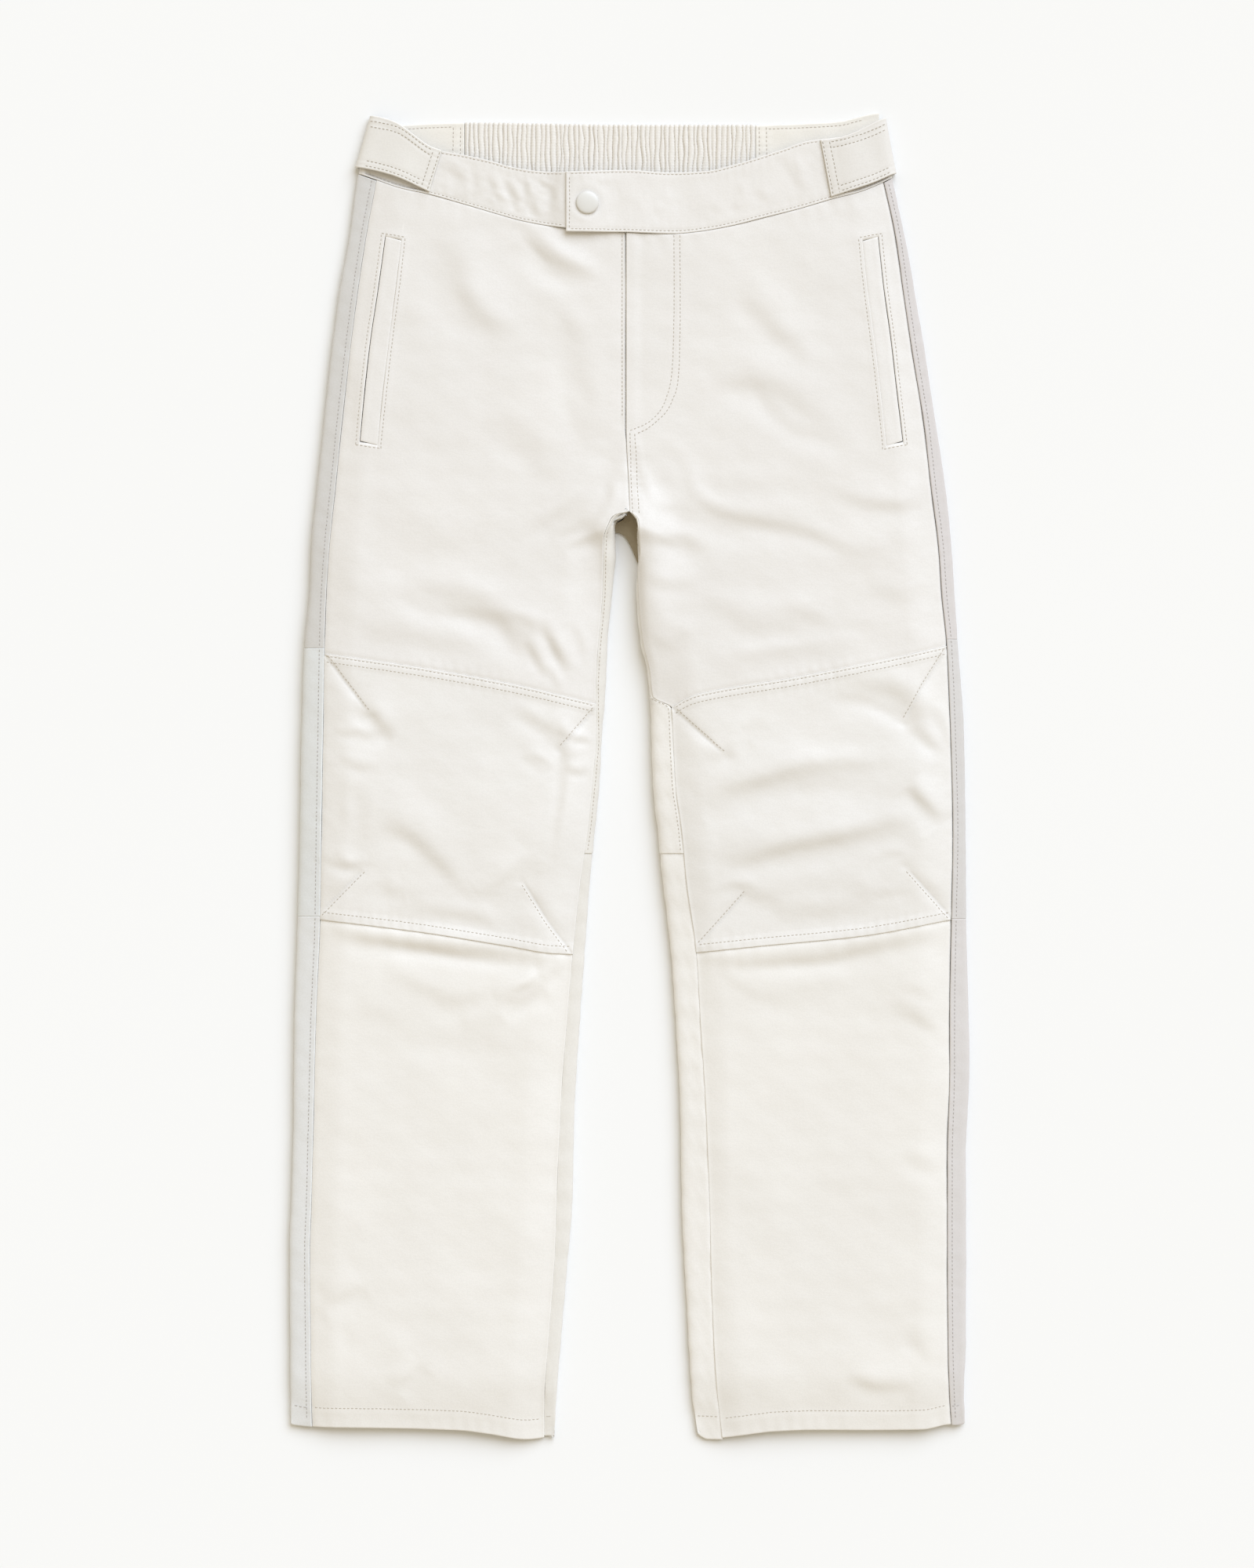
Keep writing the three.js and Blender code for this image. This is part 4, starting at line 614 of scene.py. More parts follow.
def edge_distances(points):
    """Arc lengths across each row from its start and end, and down each column from its top and foot."""
    du, dv = spans(points)
    su = np.concatenate([np.zeros((points.shape[0], 1)), np.cumsum(du, 1)], 1)
    sv = np.concatenate([np.zeros((1, points.shape[1])), np.cumsum(dv, 0)], 0)
    return su, su[:, -1:] - su, sv, sv[-1:, :] - sv


def make_mesh(name, verts, faces):
    mesh = bpy.data.meshes.new(name)
    mesh.from_pydata((np.asarray(verts) / 1000).tolist(), [], faces)
    mesh.validate()
    mesh.polygons.foreach_set("use_smooth", np.ones(len(mesh.polygons), bool))
    mesh.update()
    obj = bpy.data.objects.new(name, mesh)
    bpy.context.scene.collection.objects.link(obj)
    return obj


def shell(name, outer, normals, wall, hole=None):
    """A closed wall from a grid of outer points: the inner layer keeps every second row and column.
    hole is (row from, row to, column from, column to), even numbers."""
    n, m = outer.shape[:2]
    assert n % 2 == 1 and m % 2 == 1, (name, n, m)
    wall = np.broadcast_to(np.asarray(wall, float), (n, m))
    inner = (outer - normals * wall[..., None])[::2, ::2]
    verts = np.concatenate([outer.reshape(-1, 3), inner.reshape(-1, 3)])
    faces = []

    def o(i, j):
        return i * m + j

    def k(i, j):
        return n * m + (i // 2) * inner.shape[1] + j // 2

    def layer(at, step, turn):
        for i in range(0, n - 1, step):
            for j in range(0, m - 1, step):
                if not (hole and hole[0] <= i < hole[1] and hole[2] <= j < hole[3]):
                    a, b, c, d = at(i, j), at(i + step, j), at(i + step, j + step), at(i, j + step)
                    faces.append((a, d, c, b) if turn else (a, b, c, d))

    def rim(a, b, flip):
        """Closes one coarse edge from grid place a to b, two fine steps apart."""
        mid = ((a[0] + b[0]) // 2, (a[1] + b[1]) // 2)
        fs = [(o(*a), o(*mid), k(*a)), (o(*mid), o(*b), k(*b)), (o(*mid), k(*b), k(*a))]
        faces.extend([f[::-1] for f in fs] if flip else fs)

    def frame_of(i0, i1, j0, j1, flip):
        for j in range(j0, j1, 2):
            rim((i0, j), (i0, j + 2), flip)
            rim((i1, j), (i1, j + 2), not flip)
        for i in range(i0, i1, 2):
            rim((i, j0), (i + 2, j0), not flip)
            rim((i, j1), (i + 2, j1), flip)

    layer(o, 1, False)
    layer(k, 2, True)
    frame_of(0, n - 1, 0, m - 1, False)
    if hole:
        frame_of(*hole, True)
        used = np.unique(np.concatenate([np.array(f).ravel() for f in faces]))
        place = -np.ones(len(verts), int)
        place[used] = np.arange(len(used))
        verts = verts[used]
        faces = [tuple(int(place[v]) for v in f) for f in faces]
    # point the faces outward
    a, b, c = (verts[faces[0][t]] for t in (0, 1, 2))
    if np.dot(np.cross(b - a, c - a), normals[0, 0]) < 0:
        faces = [f[::-1] for f in faces]
    return make_mesh(name, verts, faces)


# ---------------------------------------------------------------- materials
def srgb(r, g, b):
    return tuple((c / 255 / 12.92) if c / 255 <= 0.04045 else ((c / 255 + 0.055) / 1.055) ** 2.4
                 for c in (r, g, b)) + (1.0,)


class Nodes:
    """A material in the making. Values given to a node are numbers, colours or another node's output."""

    def __init__(self, name):
        self.material = bpy.data.materials.new(name)
        self.material.use_nodes = True
        self.tree = self.material.node_tree
        self.tree.nodes.clear()
        self.shader = self.tree.nodes.new("ShaderNodeBsdfPrincipled")
        self.node("OutputMaterial", None, {0: self.shader.outputs[0]})
        self.coords = self.node("TexCoord", "Object", {})

    def fill(self, node, values):
        for key, value in values.items():
            if isinstance(value, bpy.types.NodeSocket):
                self.tree.links.new(value, node.inputs[key])
            else:
                node.inputs[key].default_value = value

    def node(self, kind, output, values, **settings):
        made = self.tree.nodes.new("ShaderNode" + kind)
        for key, value in settings.items():
            setattr(made, key, value)
        self.fill(made, values)
        return None if output is None else made.outputs[output]

    def pointiness(self):
        return self.node("NewGeometry", "Pointiness", {})

    def scaled(self, sx, sy, sz, turn=0.0):
        return self.node("Mapping", 0, {"Scale": (sx, sy, sz), "Rotation": (0, 0, turn),
                                        "Vector": self.coords})

    def noise(self, scale, detail, rough, vector=None):
        return self.node("TexNoise", "Fac", {"Scale": scale, "Detail": detail, "Roughness": rough,
                                             "Vector": vector or self.coords})

    def cells(self, scale):
        return self.node("TexVoronoi", "Distance", {"Scale": scale, "Vector": self.coords})

    def remap(self, value, a, b, c, d):
        return self.node("MapRange", "Result", {"From Min": a, "From Max": b, "To Min": c, "To Max": d,
                                                "Value": value})

    def math(self, operation, a, b):
        return self.node("Math", 0, {0: a, 1: b}, operation=operation)

    def blend(self, fac, a, b):
        return self.node("Mix", 2, {0: fac, 6: a, 7: b}, data_type="RGBA")

    def bump(self, height, strength, distance, under=None):
        return self.node("Bump", 0, {"Strength": strength, "Distance": distance, "Height": height,
                                     **({"Normal": under} if under else {})})

    def done(self, color, normal, rough, specular, **more):
        self.fill(self.shader, {"Base Color": color, "Normal": normal, "Roughness": rough,
                                "Specular IOR Level": specular})
        self.fill(self.shader, {key.replace("_", " "): value for key, value in more.items()})
        return self.material


def leather(name, color, shade, wear_and_highlight, grain=1.0, streak=1.0, rough=0.48):
    """Soft matt hide: fine pebbled grain, faint stretch lines, slow colour drift, paler sharp ridges (rubbed
    wear and painted highlight) and painted shade in its creases and hollows.
    """
    n = Nodes(name)
    crease_shade, deep = (tuple(c * share for c in shade[:3]) + (1.0,) for share in (0.86, 0.8))
    drift = n.remap(n.noise(7.0, 3.0, 0.55), 0.3, 0.7, 0, 1)
    mottle = n.remap(n.noise(70.0, 3.0, 0.6), 0.35, 0.7, 0, 1)
    point, cell, pore = n.pointiness(), n.cells(620.0), n.cells(1350.0)
    base = n.blend(n.math("MULTIPLY", drift, 0.6), color, shade)
    base = n.blend(n.math("MULTIPLY", mottle, 0.12), base, shade)
    # Paler on sharp ridges: partly rubbed wear, partly painted highlight.
    base = n.blend(n.remap(point, 0.505, 0.56, 0, 0.55), base, wear_and_highlight)
    # Painted shade: darker in creases and hollows, where the surface curves inward.
    base = n.blend(n.remap(point, 0.44, 0.495, 0.5, 0.0), base, crease_shade)
    base = n.blend(n.remap(cell, 0.35, 0.75, 0.0, 0.10), base, deep)
    lines = n.noise(1.0, 4.0, 0.62, n.scaled(110, 460, 120))
    fine_lines = n.noise(1.0, 3.0, 0.55, n.scaled(230, 760, 200, 0.15))
    stretch = n.math("ADD", lines, n.math("MULTIPLY", fine_lines, 0.5))
    pebble = n.math("ADD", n.math("MULTIPLY", cell, 0.7), n.math("MULTIPLY", pore, 0.35))
    b = n.bump(n.noise(38.0, 3.0, 0.5), 0.15 * streak, 0.0014)
    b = n.bump(stretch, 0.08 * streak, 0.0006, b)
    b = n.bump(n.noise(330.0, 3.0, 0.6), 0.06 * grain, 0.0006, b)
    b = n.bump(pebble, 0.14 * grain, 0.00035, b)
    matt = n.remap(n.math("ADD", mottle, cell), 0.2, 1.5, rough - 0.08, rough + 0.06)
    return n.done(base, b, matt, 0.42, IOR=1.5, Sheen_Weight=0.05, Sheen_Roughness=0.5)


def thread_material(name, color, dark):
    n = Nodes(name)
    twist = n.noise(1.0, 2.0, 0.5, n.scaled(2200, 2200, 2200))
    mixed = n.blend(n.remap(twist, 0.3, 0.7, 0, 1), color, dark)
    return n.done(mixed, n.bump(twist, 0.4, 0.0002), 0.6, 0.3)


def gathered_material(name, color, groove):
    """Thin hide drawn up over elastic: painted shade makes the deep grooves greyer than the ridges."""
    n = Nodes(name)
    # Painted shade: the groove colour darkens the hollows of the gathers.
    base = n.blend(n.remap(n.pointiness(), 0.40, 0.50, 1.0, 0.0), color, groove)
    fine = n.noise(420.0, 3.0, 0.6)
    base = n.blend(n.math("MULTIPLY", n.remap(fine, 0.35, 0.7, 0, 1), 0.18), base, groove)
    b = n.bump(n.noise(1.0, 3.0, 0.6, n.scaled(900, 260, 400)), 0.35, 0.0006)
    b = n.bump(n.cells(1100.0), 0.25, 0.0003, b)
    return n.done(base, b, n.remap(fine, 0.3, 0.7, 0.58, 0.72), 0.3)


def enamel_material(name, color, shade):
    n = Nodes(name)
    tone = n.noise(120.0, 3.0, 0.6)
    return n.done(n.blend(n.remap(tone, 0.35, 0.7, 0, 0.7), color, shade),
                  n.bump(n.noise(900.0, 2.0, 0.5), 0.08, 0.0002),
                  n.remap(tone, 0.3, 0.7, 0.30, 0.40), 0.5, Coat_Weight=0.15, Coat_Roughness=0.25)


def tinted(name, tint, wear_and_highlight, *how):
    """Leather of this tint, a little darker in its slow drift, and paler on sharp ridges: rubbed wear and
    painted highlight.
    """
    return leather(name, *(srgb(*(c + step for c in tint)) for step in (0, -6, wear_and_highlight)), *how)


def tinted_set(name, wear_and_highlight, tints):
    return {key: tinted(f"{name}_{key}", tint, wear_and_highlight) for key, tint in tints.items()}


CREAMS = tinted_set("cream_leather", 7, dict(
    thigh=(231.2, 228.1, 223.3), knee=(232.6, 229.9, 225.0), shin=(234.8, 231.8, 225.9)))
# The straps, front bands and back panels are each one leather tinted apart for the two sides: the
# differences are painted light and shade.
STRAP_CREAMS = tinted_set("cream_leather_strap", 8, dict(
    right=(229, 226, 219.5), left=(225, 221.2, 214.5)))
CREAM_BANDS = tinted_set("cream_band_leather", 8, dict(
    right=(228.7, 225.4, 219.9), left=(231.0, 227.8, 222.9)))
BACK_CREAMS = tinted_set("cream_back_leather", 6, dict(
    right=(226, 222.5, 215), left=(240, 237.5, 232.5)))
BAND_BACK = leather("cream_band_back_leather", srgb(236.2, 232.2, 223.4), srgb(230.4, 226.2, 216.8),
                    srgb(242.4, 239.2, 231.8))
# One grey stripe leather, tinted apart for each side and panel: the differences are painted light and shade,
# set to how the light falls on each stripe.
GREY_PAINTED_LIGHT_TINTS = dict(right=((213, 211.2, 207.8), (224.3, 225.8, 224.4), (226.2, 226.4, 224.8)),
                  left=((209.4, 203.9, 200.4), (207.9, 204.4, 200.6), (211.2, 206.7, 203.2)))
GREYS = {side: [tinted(f"grey_leather_{side}_{k}", tint, 9, 1.25, 0.6) for k, tint in enumerate(tints)]
         for side, tints in GREY_PAINTED_LIGHT_TINTS.items()}
# A dark brown hide for the seat edge between the legs: painted shade, standing in for the deep shadow under
# the crotch.
SEAT_SHADE_HIDE = leather("seat_lining", srgb(164, 152, 128), srgb(150, 138, 115), srgb(172, 160, 138),
                 1.0, 0.6, 0.6)
# The second colour is painted shade for the grooves of the gathers.
GATHERED = gathered_material("gathered_leather", srgb(233.4, 229.7, 223), srgb(206, 199, 186))
THREAD = thread_material("cream_thread", srgb(211, 204, 193), srgb(187, 179, 167))
THREAD_DARK = thread_material("tan_thread", srgb(190, 181, 167), srgb(168, 160, 146))
THREAD_GREY = thread_material("grey_thread", srgb(196, 191, 187), srgb(172, 167, 163))
ENAMEL = enamel_material("snap_enamel", srgb(224, 223, 218.5), srgb(219, 217, 211.5))

# ---------------------------------------------------------------- making a panel
MADE = {}


def panel(name, material, slot, p, normals, d, wall, hole=None):
    """A shell over the grid p, raised by d along its normals and never below the floor."""
    d = np.where(p[..., 2] < 0.01, np.minimum(d, 0), d)
    points = p + normals * d[..., None]
    points[..., 2] = np.maximum(points[..., 2], 0.0)
    obj = shell(f"{name}_hide", points, normals, wall, hole)
    obj.data.materials.append(material)
    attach(obj, "root")
    if slot:
        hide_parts(name)
    MADE[name] = obj


def rounding(d, r):
    """The curve of a cut edge, d from it."""
    c = np.clip(1 - d / r, 0, 1)
    return -(r - np.sqrt(np.maximum(r * r - (r * c) ** 2, 0)))


def rims(*rows):
    return sum(rounding(d, r) for d, r in rows)


def puckers(s, d, reach, high, seed, length=9.0):
    """Small ripples that run in from a sewn edge: s is the length along it, d the distance from it."""
    drift = np.sin(s / 37.0 + seed) * 1.6 + np.sin(s / 61.0 + 2 * seed) * 2.0
    ripple = np.sin(2 * math.pi * s / length + drift) * (0.55 + 0.45 * np.sin(s / 23.0 + 3 * seed))
    return high * ripple * bell((d - reach * 0.45) / reach) * ease(d / 1.2)


def lapped(d, deep, reach):
    """The layer that goes under a lapped seam dips towards it."""
    return -deep * (1 - ease(d / reach))


def plateau(d, height, width, soft=2.6):
    """The doubled layer beside a lapped seam: full height from the edge to width, then it falls."""
    return height * (1 - ease((d - width) / soft))


def groove(d, depth, wide=0.9):
    return -depth * bell(d / wide)


def grooves(d, *rows):
    """Grooves under rows of stitches: how far from the edge each runs and how deep it is."""
    return sum(groove(d - at, *form) for at, *form in rows)


def side_sign(dart):
    """Which side of a dart is the raised one: the one nearer the middle of the knee."""
    (x0, y0), (x1, y1) = dart[0], dart[-1]
    middle = 160.0 if x0 > 0 else -150.0
    return np.sign((middle - x0) * (y0 - y1) + (-20.0 - y0) * (x1 - x0))


def dart_form(x, y, side):
    """Both sides of a dart roll down into its seam, and the cloth is pulled into a dimple at the tip."""
    total = np.zeros(x.shape)
    for dart in DARTS[side]:
        path = np.array(dart, float)
        near = within(path, 20, x, y)
        d, sgn, along = near_path(path, x[near], y[near])
        lip = 0.30 * bell((d - 2.6) / 2.6) * np.where(sgn * side_sign(dart) > 0, 1.0, 0.3)
        total[near] += (lip + groove(d, 0.55, 0.8)) * ease((1 - along) / 0.12)
    for cx, cy, reach, deep in DIMPLES:
        total -= deep * bell(np.hypot(x - cx, y - cy) / reach) * 0.8
    return total


def small_relief(x, y, weight):
    total = with_folds(small_folds, x, y)
    total += (0.26 * rolling(x, y, 62.0, 1) + 0.07 * rolling(x, y, 24.0, 2)
              + 0.018 * rolling(x * 0.6, y, 8.5, 3))
    return total * weight


# ---------------------------------------------------------------- fronts
PITCHES = dict(thigh=2.0, knee=1.5, shin=2.2)
FLY_STITCH = [(39, 451), (39.2, 399), (38.6, 362), (37.6, 340.5), (36.2, 328.2), (32.5, 315.3),
              (29.1, 307.6), (25.2, 302.2), (17.1, 295), (6.5, 290.2), (1.6, 288.2)]
fly_path = smooth_path(FLY_STITCH, 60)


def fly_gap(y):
    return FLY_OPEN * ease((y - FLY_BOTTOM + FLY_CLOSING) / FLY_CLOSING)


def thigh_relief(leg, x, y, edges):
    """The fly, where the left edge laps over the right one, the centre seam and the pressed edges."""
    outer_d, inner_d, top_d, low_d = edges
    d = lapped(top_d, 0.22, 1.4) + lapped(low_d, 0.4, 3.2)
    d += puckers(outer_d, low_d, 6.0, 0.16, 1.0) + puckers(outer_d, top_d, 8.0, 0.14, 4.0, 13.0)
    d += puckers(top_d, outer_d, 5.0, 0.08, 2.0, 16.0)
    if leg is left:
        d += plateau(inner_d, 0.75, 5.0, 9.0) * ease((y - 268) / 16)
        far, sgn, _ = near_path(fly_path, x, y)
        d += grooves(far * sgn, (0.0, 0.22, 1.2), (5.0, 0.22, 1.2)) + 0.16 * bell((far * sgn - 4.3) / 3.0)
        rolled = 0.25 * np.sin(2 * math.pi * y / 5.3 + np.sin(y / 7)) * bell((inner_d - 6.5) / 5)
        seam = plateau(inner_d, 0.45, 11.0, 3.0) + grooves(inner_d, (3.4, 0.3), (9.4, 0.3)) + rolled
        return d + ease((282 - y) / 10) * ease((y - 226) / 8) * seam
    at_fly = ease((y - 285) / 12)
    d += groove(inner_d - 2.6, 0.25) * at_fly - plateau(inner_d, 0.35, 2.0, 10.0) * at_fly
    return d + lapped(inner_d, 0.4, 2.6) * ease((285 - y) / 12) * ease((y - 222) / 4)


def window_relief(outer_d, y, hole):
    """The rim round the pocket window is pressed flat and rounded into the mouth."""
    i0, i1, j0, j1 = hole
    dx_out, dx_in = outer_d - outer_d[:, j0:j0 + 1], outer_d[:, j1:j1 + 1] - outer_d
    outside = np.maximum.reduce([-dx_out, -dx_in, y - y[i0][None], y[i1][None] - y, np.zeros_like(y)])
    mouth = (dx_out > -8) & (dx_out < 1) & (outside < 6)
    rim = np.where(mouth, rounding(outside, 0.7), np.where(outside < 6, rounding(outside, 0.25), 0))
    return rim + plateau(outside, 0.25, 3.4, 4.0) + groove(outside - 2.9, 0.2)


def knee_relief(x, y, side, edges):
    outer_d, _, top_d, low_d = edges
    d = dart_form(x, y, side)
    d += plateau(top_d, 0.5, 7.0) + grooves(top_d, (1.7, 0.25), (6.4, 0.3))
    d += plateau(low_d, 0.55, 7.2) + groove(low_d - 6.8, 0.3) + rims((top_d, 0.5), (low_d, 0.7))
    d += puckers(outer_d, top_d, 9.0, 0.14, 5.0) + puckers(outer_d, low_d, 9.0, 0.16, 6.0)
    return d + puckers(top_d, outer_d, 5.0, 0.10, 7.0, 14.0)


def shin_relief(edges):
    outer_d, _, top_d, low_d = edges
    d = lapped(top_d, 0.55, 4.5) + rounding(low_d, 0.9)
    d += puckers(outer_d, top_d, 12.0, 0.22, 8.0, 17.0)
    d += puckers(outer_d, low_d, 9.0, 0.18, 9.0, 12.0)
    d += groove(low_d - 16.5, 0.3, 1.1) + plateau(low_d, 0.35, 16.0, 3.0)
    return d + puckers(top_d, outer_d, 5.0, 0.07, 3.0, 19.0)


POCKET_SPAN, POCKET_MIDDLE, BEND_ACROSS, BEND_ALONG = (277, 450), 360.0, 16.0, 18.0


def front_panel(leg, part, top_line, low_line, start_top, start_low):
    side, thigh, pitch = leg.name, part == "thigh", PITCHES[part]
    corner = 1e9 if thigh else KNEE_CORNER[side]
    pocket = POCKETS[side]
    pocket_at = [column(pocket["rows"], i) for i in (1, 2)]

    def ends(y):
        closing = fly_gap(y) if leg is right else 0
        return (leg.on_front(y, leg.stripe_at(y) - SEWN),
                leg.on_front(y, leg.seam_at(np.minimum(y, corner)) + SEWN + closing))

    def offset(i, y):
        inside = np.clip(y, *POCKET_SPAN)
        return leg.stripe_at(inside) - pocket_at[i](inside)

    def across(y, u):
        """u counts blocks of columns: one in a plain panel, three where there is a pocket window."""
        stripe, middle = ends(y)
        window = [leg.on_front(y, leg.stripe_at(y) - offset(i, y)) for i in (0, 1)] if thigh else []
        return by_blocks(u, [stripe, *window, middle])

    q0, q1 = ends(np.float64(0.5 * (start_top + start_low)))
    wide = float(q1 - q0)
    window = [offset(i, POCKET_MIDDLE) for i in (0, 1)] if thigh else []
    blocks = [shares(b - a, pitch) for a, b in zip([0.0, *window], [*window, wide])]
    u = np.concatenate([blocks[0], *(i + 1 + block[1:] for i, block in enumerate(blocks[1:]))])
    top = seam_y(leg, top_line, across, u, start_top) - SEWN
    low = seam_y(leg, low_line, across, u, start_low) + SEWN
    hole = None
    if not thigh:
        y = rows_between(top, low, pitch)
    else:
        y = rows_past_crotch(top, low, pitch, pitch, FINE, (0.4, 1.0, 1.8, 2.8))
        # bend the rows so that one runs along each end of the pocket window
        j_out, j_in = len(blocks[0]) - 1, len(blocks[0]) + len(blocks[1]) - 2
        mid = (j_out + j_in) // 2
        cols = np.arange(len(u))
        place = np.clip((cols - j_out) / (j_in - j_out), 0, 1)
        hold = 1 - ease(np.maximum(0, np.maximum(j_out - cols, cols - j_in)) * pitch / BEND_ACROSS)
        window_rows = []
        for end in ("top", "low"):
            target = mix(pocket[f"out_{end}"], pocket[f"in_{end}"], place)
            i = int(np.argmin(np.abs(y[:, mid] - target[mid])))
            i += i % 2
            window_rows.append(i)
            y = y + ((target - y[i]) * hold)[None] * bell((y - target[None]) / BEND_ALONG)
        hole = (*window_rows, j_out, j_in)
        assert (np.diff(y, axis=0) < 0).all(), "rows cross"

    p = leg.point(y, across(y, u[None]))
    x, a = p[..., 0], np.abs(p[..., 0])
    edges = edge_distances(p)
    outer_d, inner_d, _, low_d = edges
    fade = ease((leg.outer_at(y) - a) / 18) * ease((a - leg.inner_at(y) + (1 - split_at(y)) * 40) / 14)
    d = small_relief(x, y, fade) + lapped(outer_d, *((0.95, 2.2) if leg is left else (0.5, 3.4)))
    d += rims((outer_d, 0.5), (inner_d, 0.45))
    d += 0.30 * ease((CROTCH_Y - y) / 3) * (1 - ease((inner_d - 0.6) / 1.8))
    wall = LEATHER
    if thigh:
        d += thigh_relief(leg, x, y, edges) + window_relief(outer_d, y, hole)
    elif part == "knee":
        d += knee_relief(x, y, side, edges)
    else:
        d += shin_relief(edges)
        wall = LEATHER + 1.2 * (1 - ease((low_d - 14) / 3))
    panel(f"front_{part}_{side}", CREAMS[part], "cream_leather", p, grid_normals(p, p.shape[1] // 2), d,
          wall, hole)


LINES = {side: [curve(table[side]) for table in (KNEE_TOP, KNEE_LOW, HEM)] for side in LEGS}
for leg in LEGS.values():
    knee_top, knee_low, hem = LINES[leg.name]
    front_panel(leg, "thigh", lambda x: band_low(x) - 0.1, knee_top, 470, 85)
    front_panel(leg, "knee", knee_top, knee_low, 85, -130)
    front_panel(leg, "shin", knee_low, hem, -130, -540)

# ---------------------------------------------------------------- side stripes and backs
HEM_Y = -540.0


def under_band(leg, across, u):
    """Heights at which the columns u of a panel end under the waistband, and half a seam's gap."""
    y = np.full(u.shape, START_Y)
    for _ in range(10):
        place = leg.point(y, across(y, u))
        x = place[..., 0]
        on_floor = (leg.outer_at(y) - np.abs(x) > FOOT + BAND_FOOT) & (place[..., 2] < BAND)
        y = np.where(on_floor, back_band_low(x) - 2 * BAND_TUCK, band_low(x) - BAND_TUCK)
    return y - SEAM_GAP / 2


def level(u, y):
    return np.full(u.shape, y)


def stripe_panels(leg):
    side = leg.name
    high, low = STRIPE_SEAMS[side]

    def across(y, u):
        under = -leg.frame_at(y).under - STRIPE_FOOT
        return mix(under, leg.on_front(y, leg.stripe_at(y) + SEWN), u)

    y_mid = np.float64(0.0)
    u = shares(float(across(y_mid, 1.0) - across(y_mid, 0.0)), 1.9)
    hem_a = mix(leg.outer_at(HEM_Y), leg.stripe_at(HEM_Y), np.clip(u * 2 - 1, 0, 1))
    hem_line = LINES[side][2](leg.sign * hem_a) + SEAM_GAP / 2
    ends = [under_band(leg, across, u), level(u, high + SEWN), level(u, high - SEWN), level(u, low + SEWN),
            level(u, low - SEWN), hem_line]
    lap, edge = (0.75, 0.5) if leg is left else (0.25, 0.3)
    for k, part in enumerate(("thigh", "knee", "shin")):
        y = rows_between(ends[2 * k], ends[2 * k + 1], 2.4)
        p = leg.point(y, across(y, u[None]))
        x, shin = p[..., 0], part == "shin"
        floor_d, front_d, top_d, low_d = edge_distances(p)
        above = ease(p[..., 2] / 2.0)
        d = above * (0.16 * wave(x, y, 47.0, 11) + 0.10 * wave(x, y * 1.4, 19.0, 12)
                     + plateau(front_d, lap, 4.4, 2.4) + groove(front_d - 3.8, 0.25)
                     + puckers(top_d, front_d, 7.0, 0.10, 13.0, 11.0))
        d += rims((front_d, edge), (top_d, 0.4), (low_d, 0.9 if shin else 0.4), (floor_d, 0.6))
        if shin:
            d += above * (groove(low_d - 16.0, 0.3, 1.1) + plateau(low_d, 0.3, 16.0, 3.0))
        panel(f"stripe_{part}_{side}", GREYS[side][k], "grey_leather", p, grid_normals(p, -3), d, LEATHER)


def back_panels(leg):
    side = leg.name

    def across(y, u):
        """u counts two blocks of columns: over the floor, then round the inner side to the seam."""
        f = leg.frame_at(y)
        floor_edge = leg.outer_at(y) - FOOT - STRIPE_FOOT - 2 * SEAM_GAP
        start = f.round + floor_edge - f.inner - f.inner_foot
        turn = f.round + mix(24.0, 2.0, split_at(y))
        high, floor = f.top + f.inner_under * 0.15, f.round + SEAM_GAP
        joined = mix(high, floor, ease((y - CROTCH_Y - 0.5) / 3.2))
        end = np.where(y <= CROTCH_Y - 0.4, leg.on_front(y, leg.seam_at(y) - SEWN), joined)
        return by_blocks(u, [start, turn, end])

    y_mid = np.float64(60.0)
    q0, q1, q2 = (float(across(y_mid, u)) for u in (0.0, 1.0, 2.0))
    u = np.concatenate([shares(q0 - q1, 4.2), 1 + shares(q1 - q2, 1.7, head=False)[1:]])
    hem_a = mix(leg.outer_at(HEM_Y), leg.inner_at(HEM_Y), np.clip(u / 1.6, 0, 1))
    hem_line = LINES[side][2](leg.sign * hem_a) + 1.5 * (1 - ease((u - 1.35) / 0.3)) + SEAM_GAP / 2
    thigh_rows = rows_past_crotch(under_band(leg, across, u), level(u, BACK_SEAM_Y + SEWN), 4.0, 3.2,
                                  (0.3, 0.9, 1.8, 3.0), (0.5, 1.2, 2.2, 3.6))
    shin_rows = rows_between(level(u, BACK_SEAM_Y - SEWN), hem_line, 3.6)
    recess, recess_low = (6.5, 160) if leg is left else (3.0, 182)
    for part, y in (("thigh", thigh_rows), ("shin", shin_rows)):
        p = leg.point(y, across(y, u[None]))
        x, seed = p[..., 0], 27 if leg is left else 21
        floor_d, seam_d, top_d, low_d = edge_distances(p)
        lying = 1 - ease(p[..., 2] / 3.0)
        troughs = 0.55 * ease(wave(x * 0.45, y * 1.25, 62.0, seed))
        troughs += 0.35 * ease(wave(x, y * 0.6, 95.0, seed + 4))
        d = -lying * troughs * ease(floor_d / 14) * ease(top_d / 12) * ease(low_d / 12)
        side_d = 0.22 * wave(x * 0.3, y, 17.0, 31) + 0.10 * wave(x, y, 9.0, 32) + lapped(seam_d, 0.3, 2.2)
        side_d -= recess * ease((seam_d - 0.5) / 2.6) * ease((y - recess_low) / 30)
        d += rims((floor_d, 0.7), (top_d, 0.5), (low_d, 0.9 if part == "shin" else 0.4))
        wall = LEATHER
        if part == "shin":
            side_d += plateau(top_d, -0.3, 1.0, 3.0)
            wall = LEATHER + 1.0 * (1 - ease((low_d - 14) / 3)) * lying
        else:
            side_d += plateau(low_d, 0.4, 6.0, 2.0)
        panel(f"back_{part}_{side}", BACK_CREAMS[side], "cream_leather_back", p,
              grid_normals(p, 6, up=False), d + (1 - lying) * side_d, wall)


for leg in LEGS.values():
    stripe_panels(leg)
    back_panels(leg)
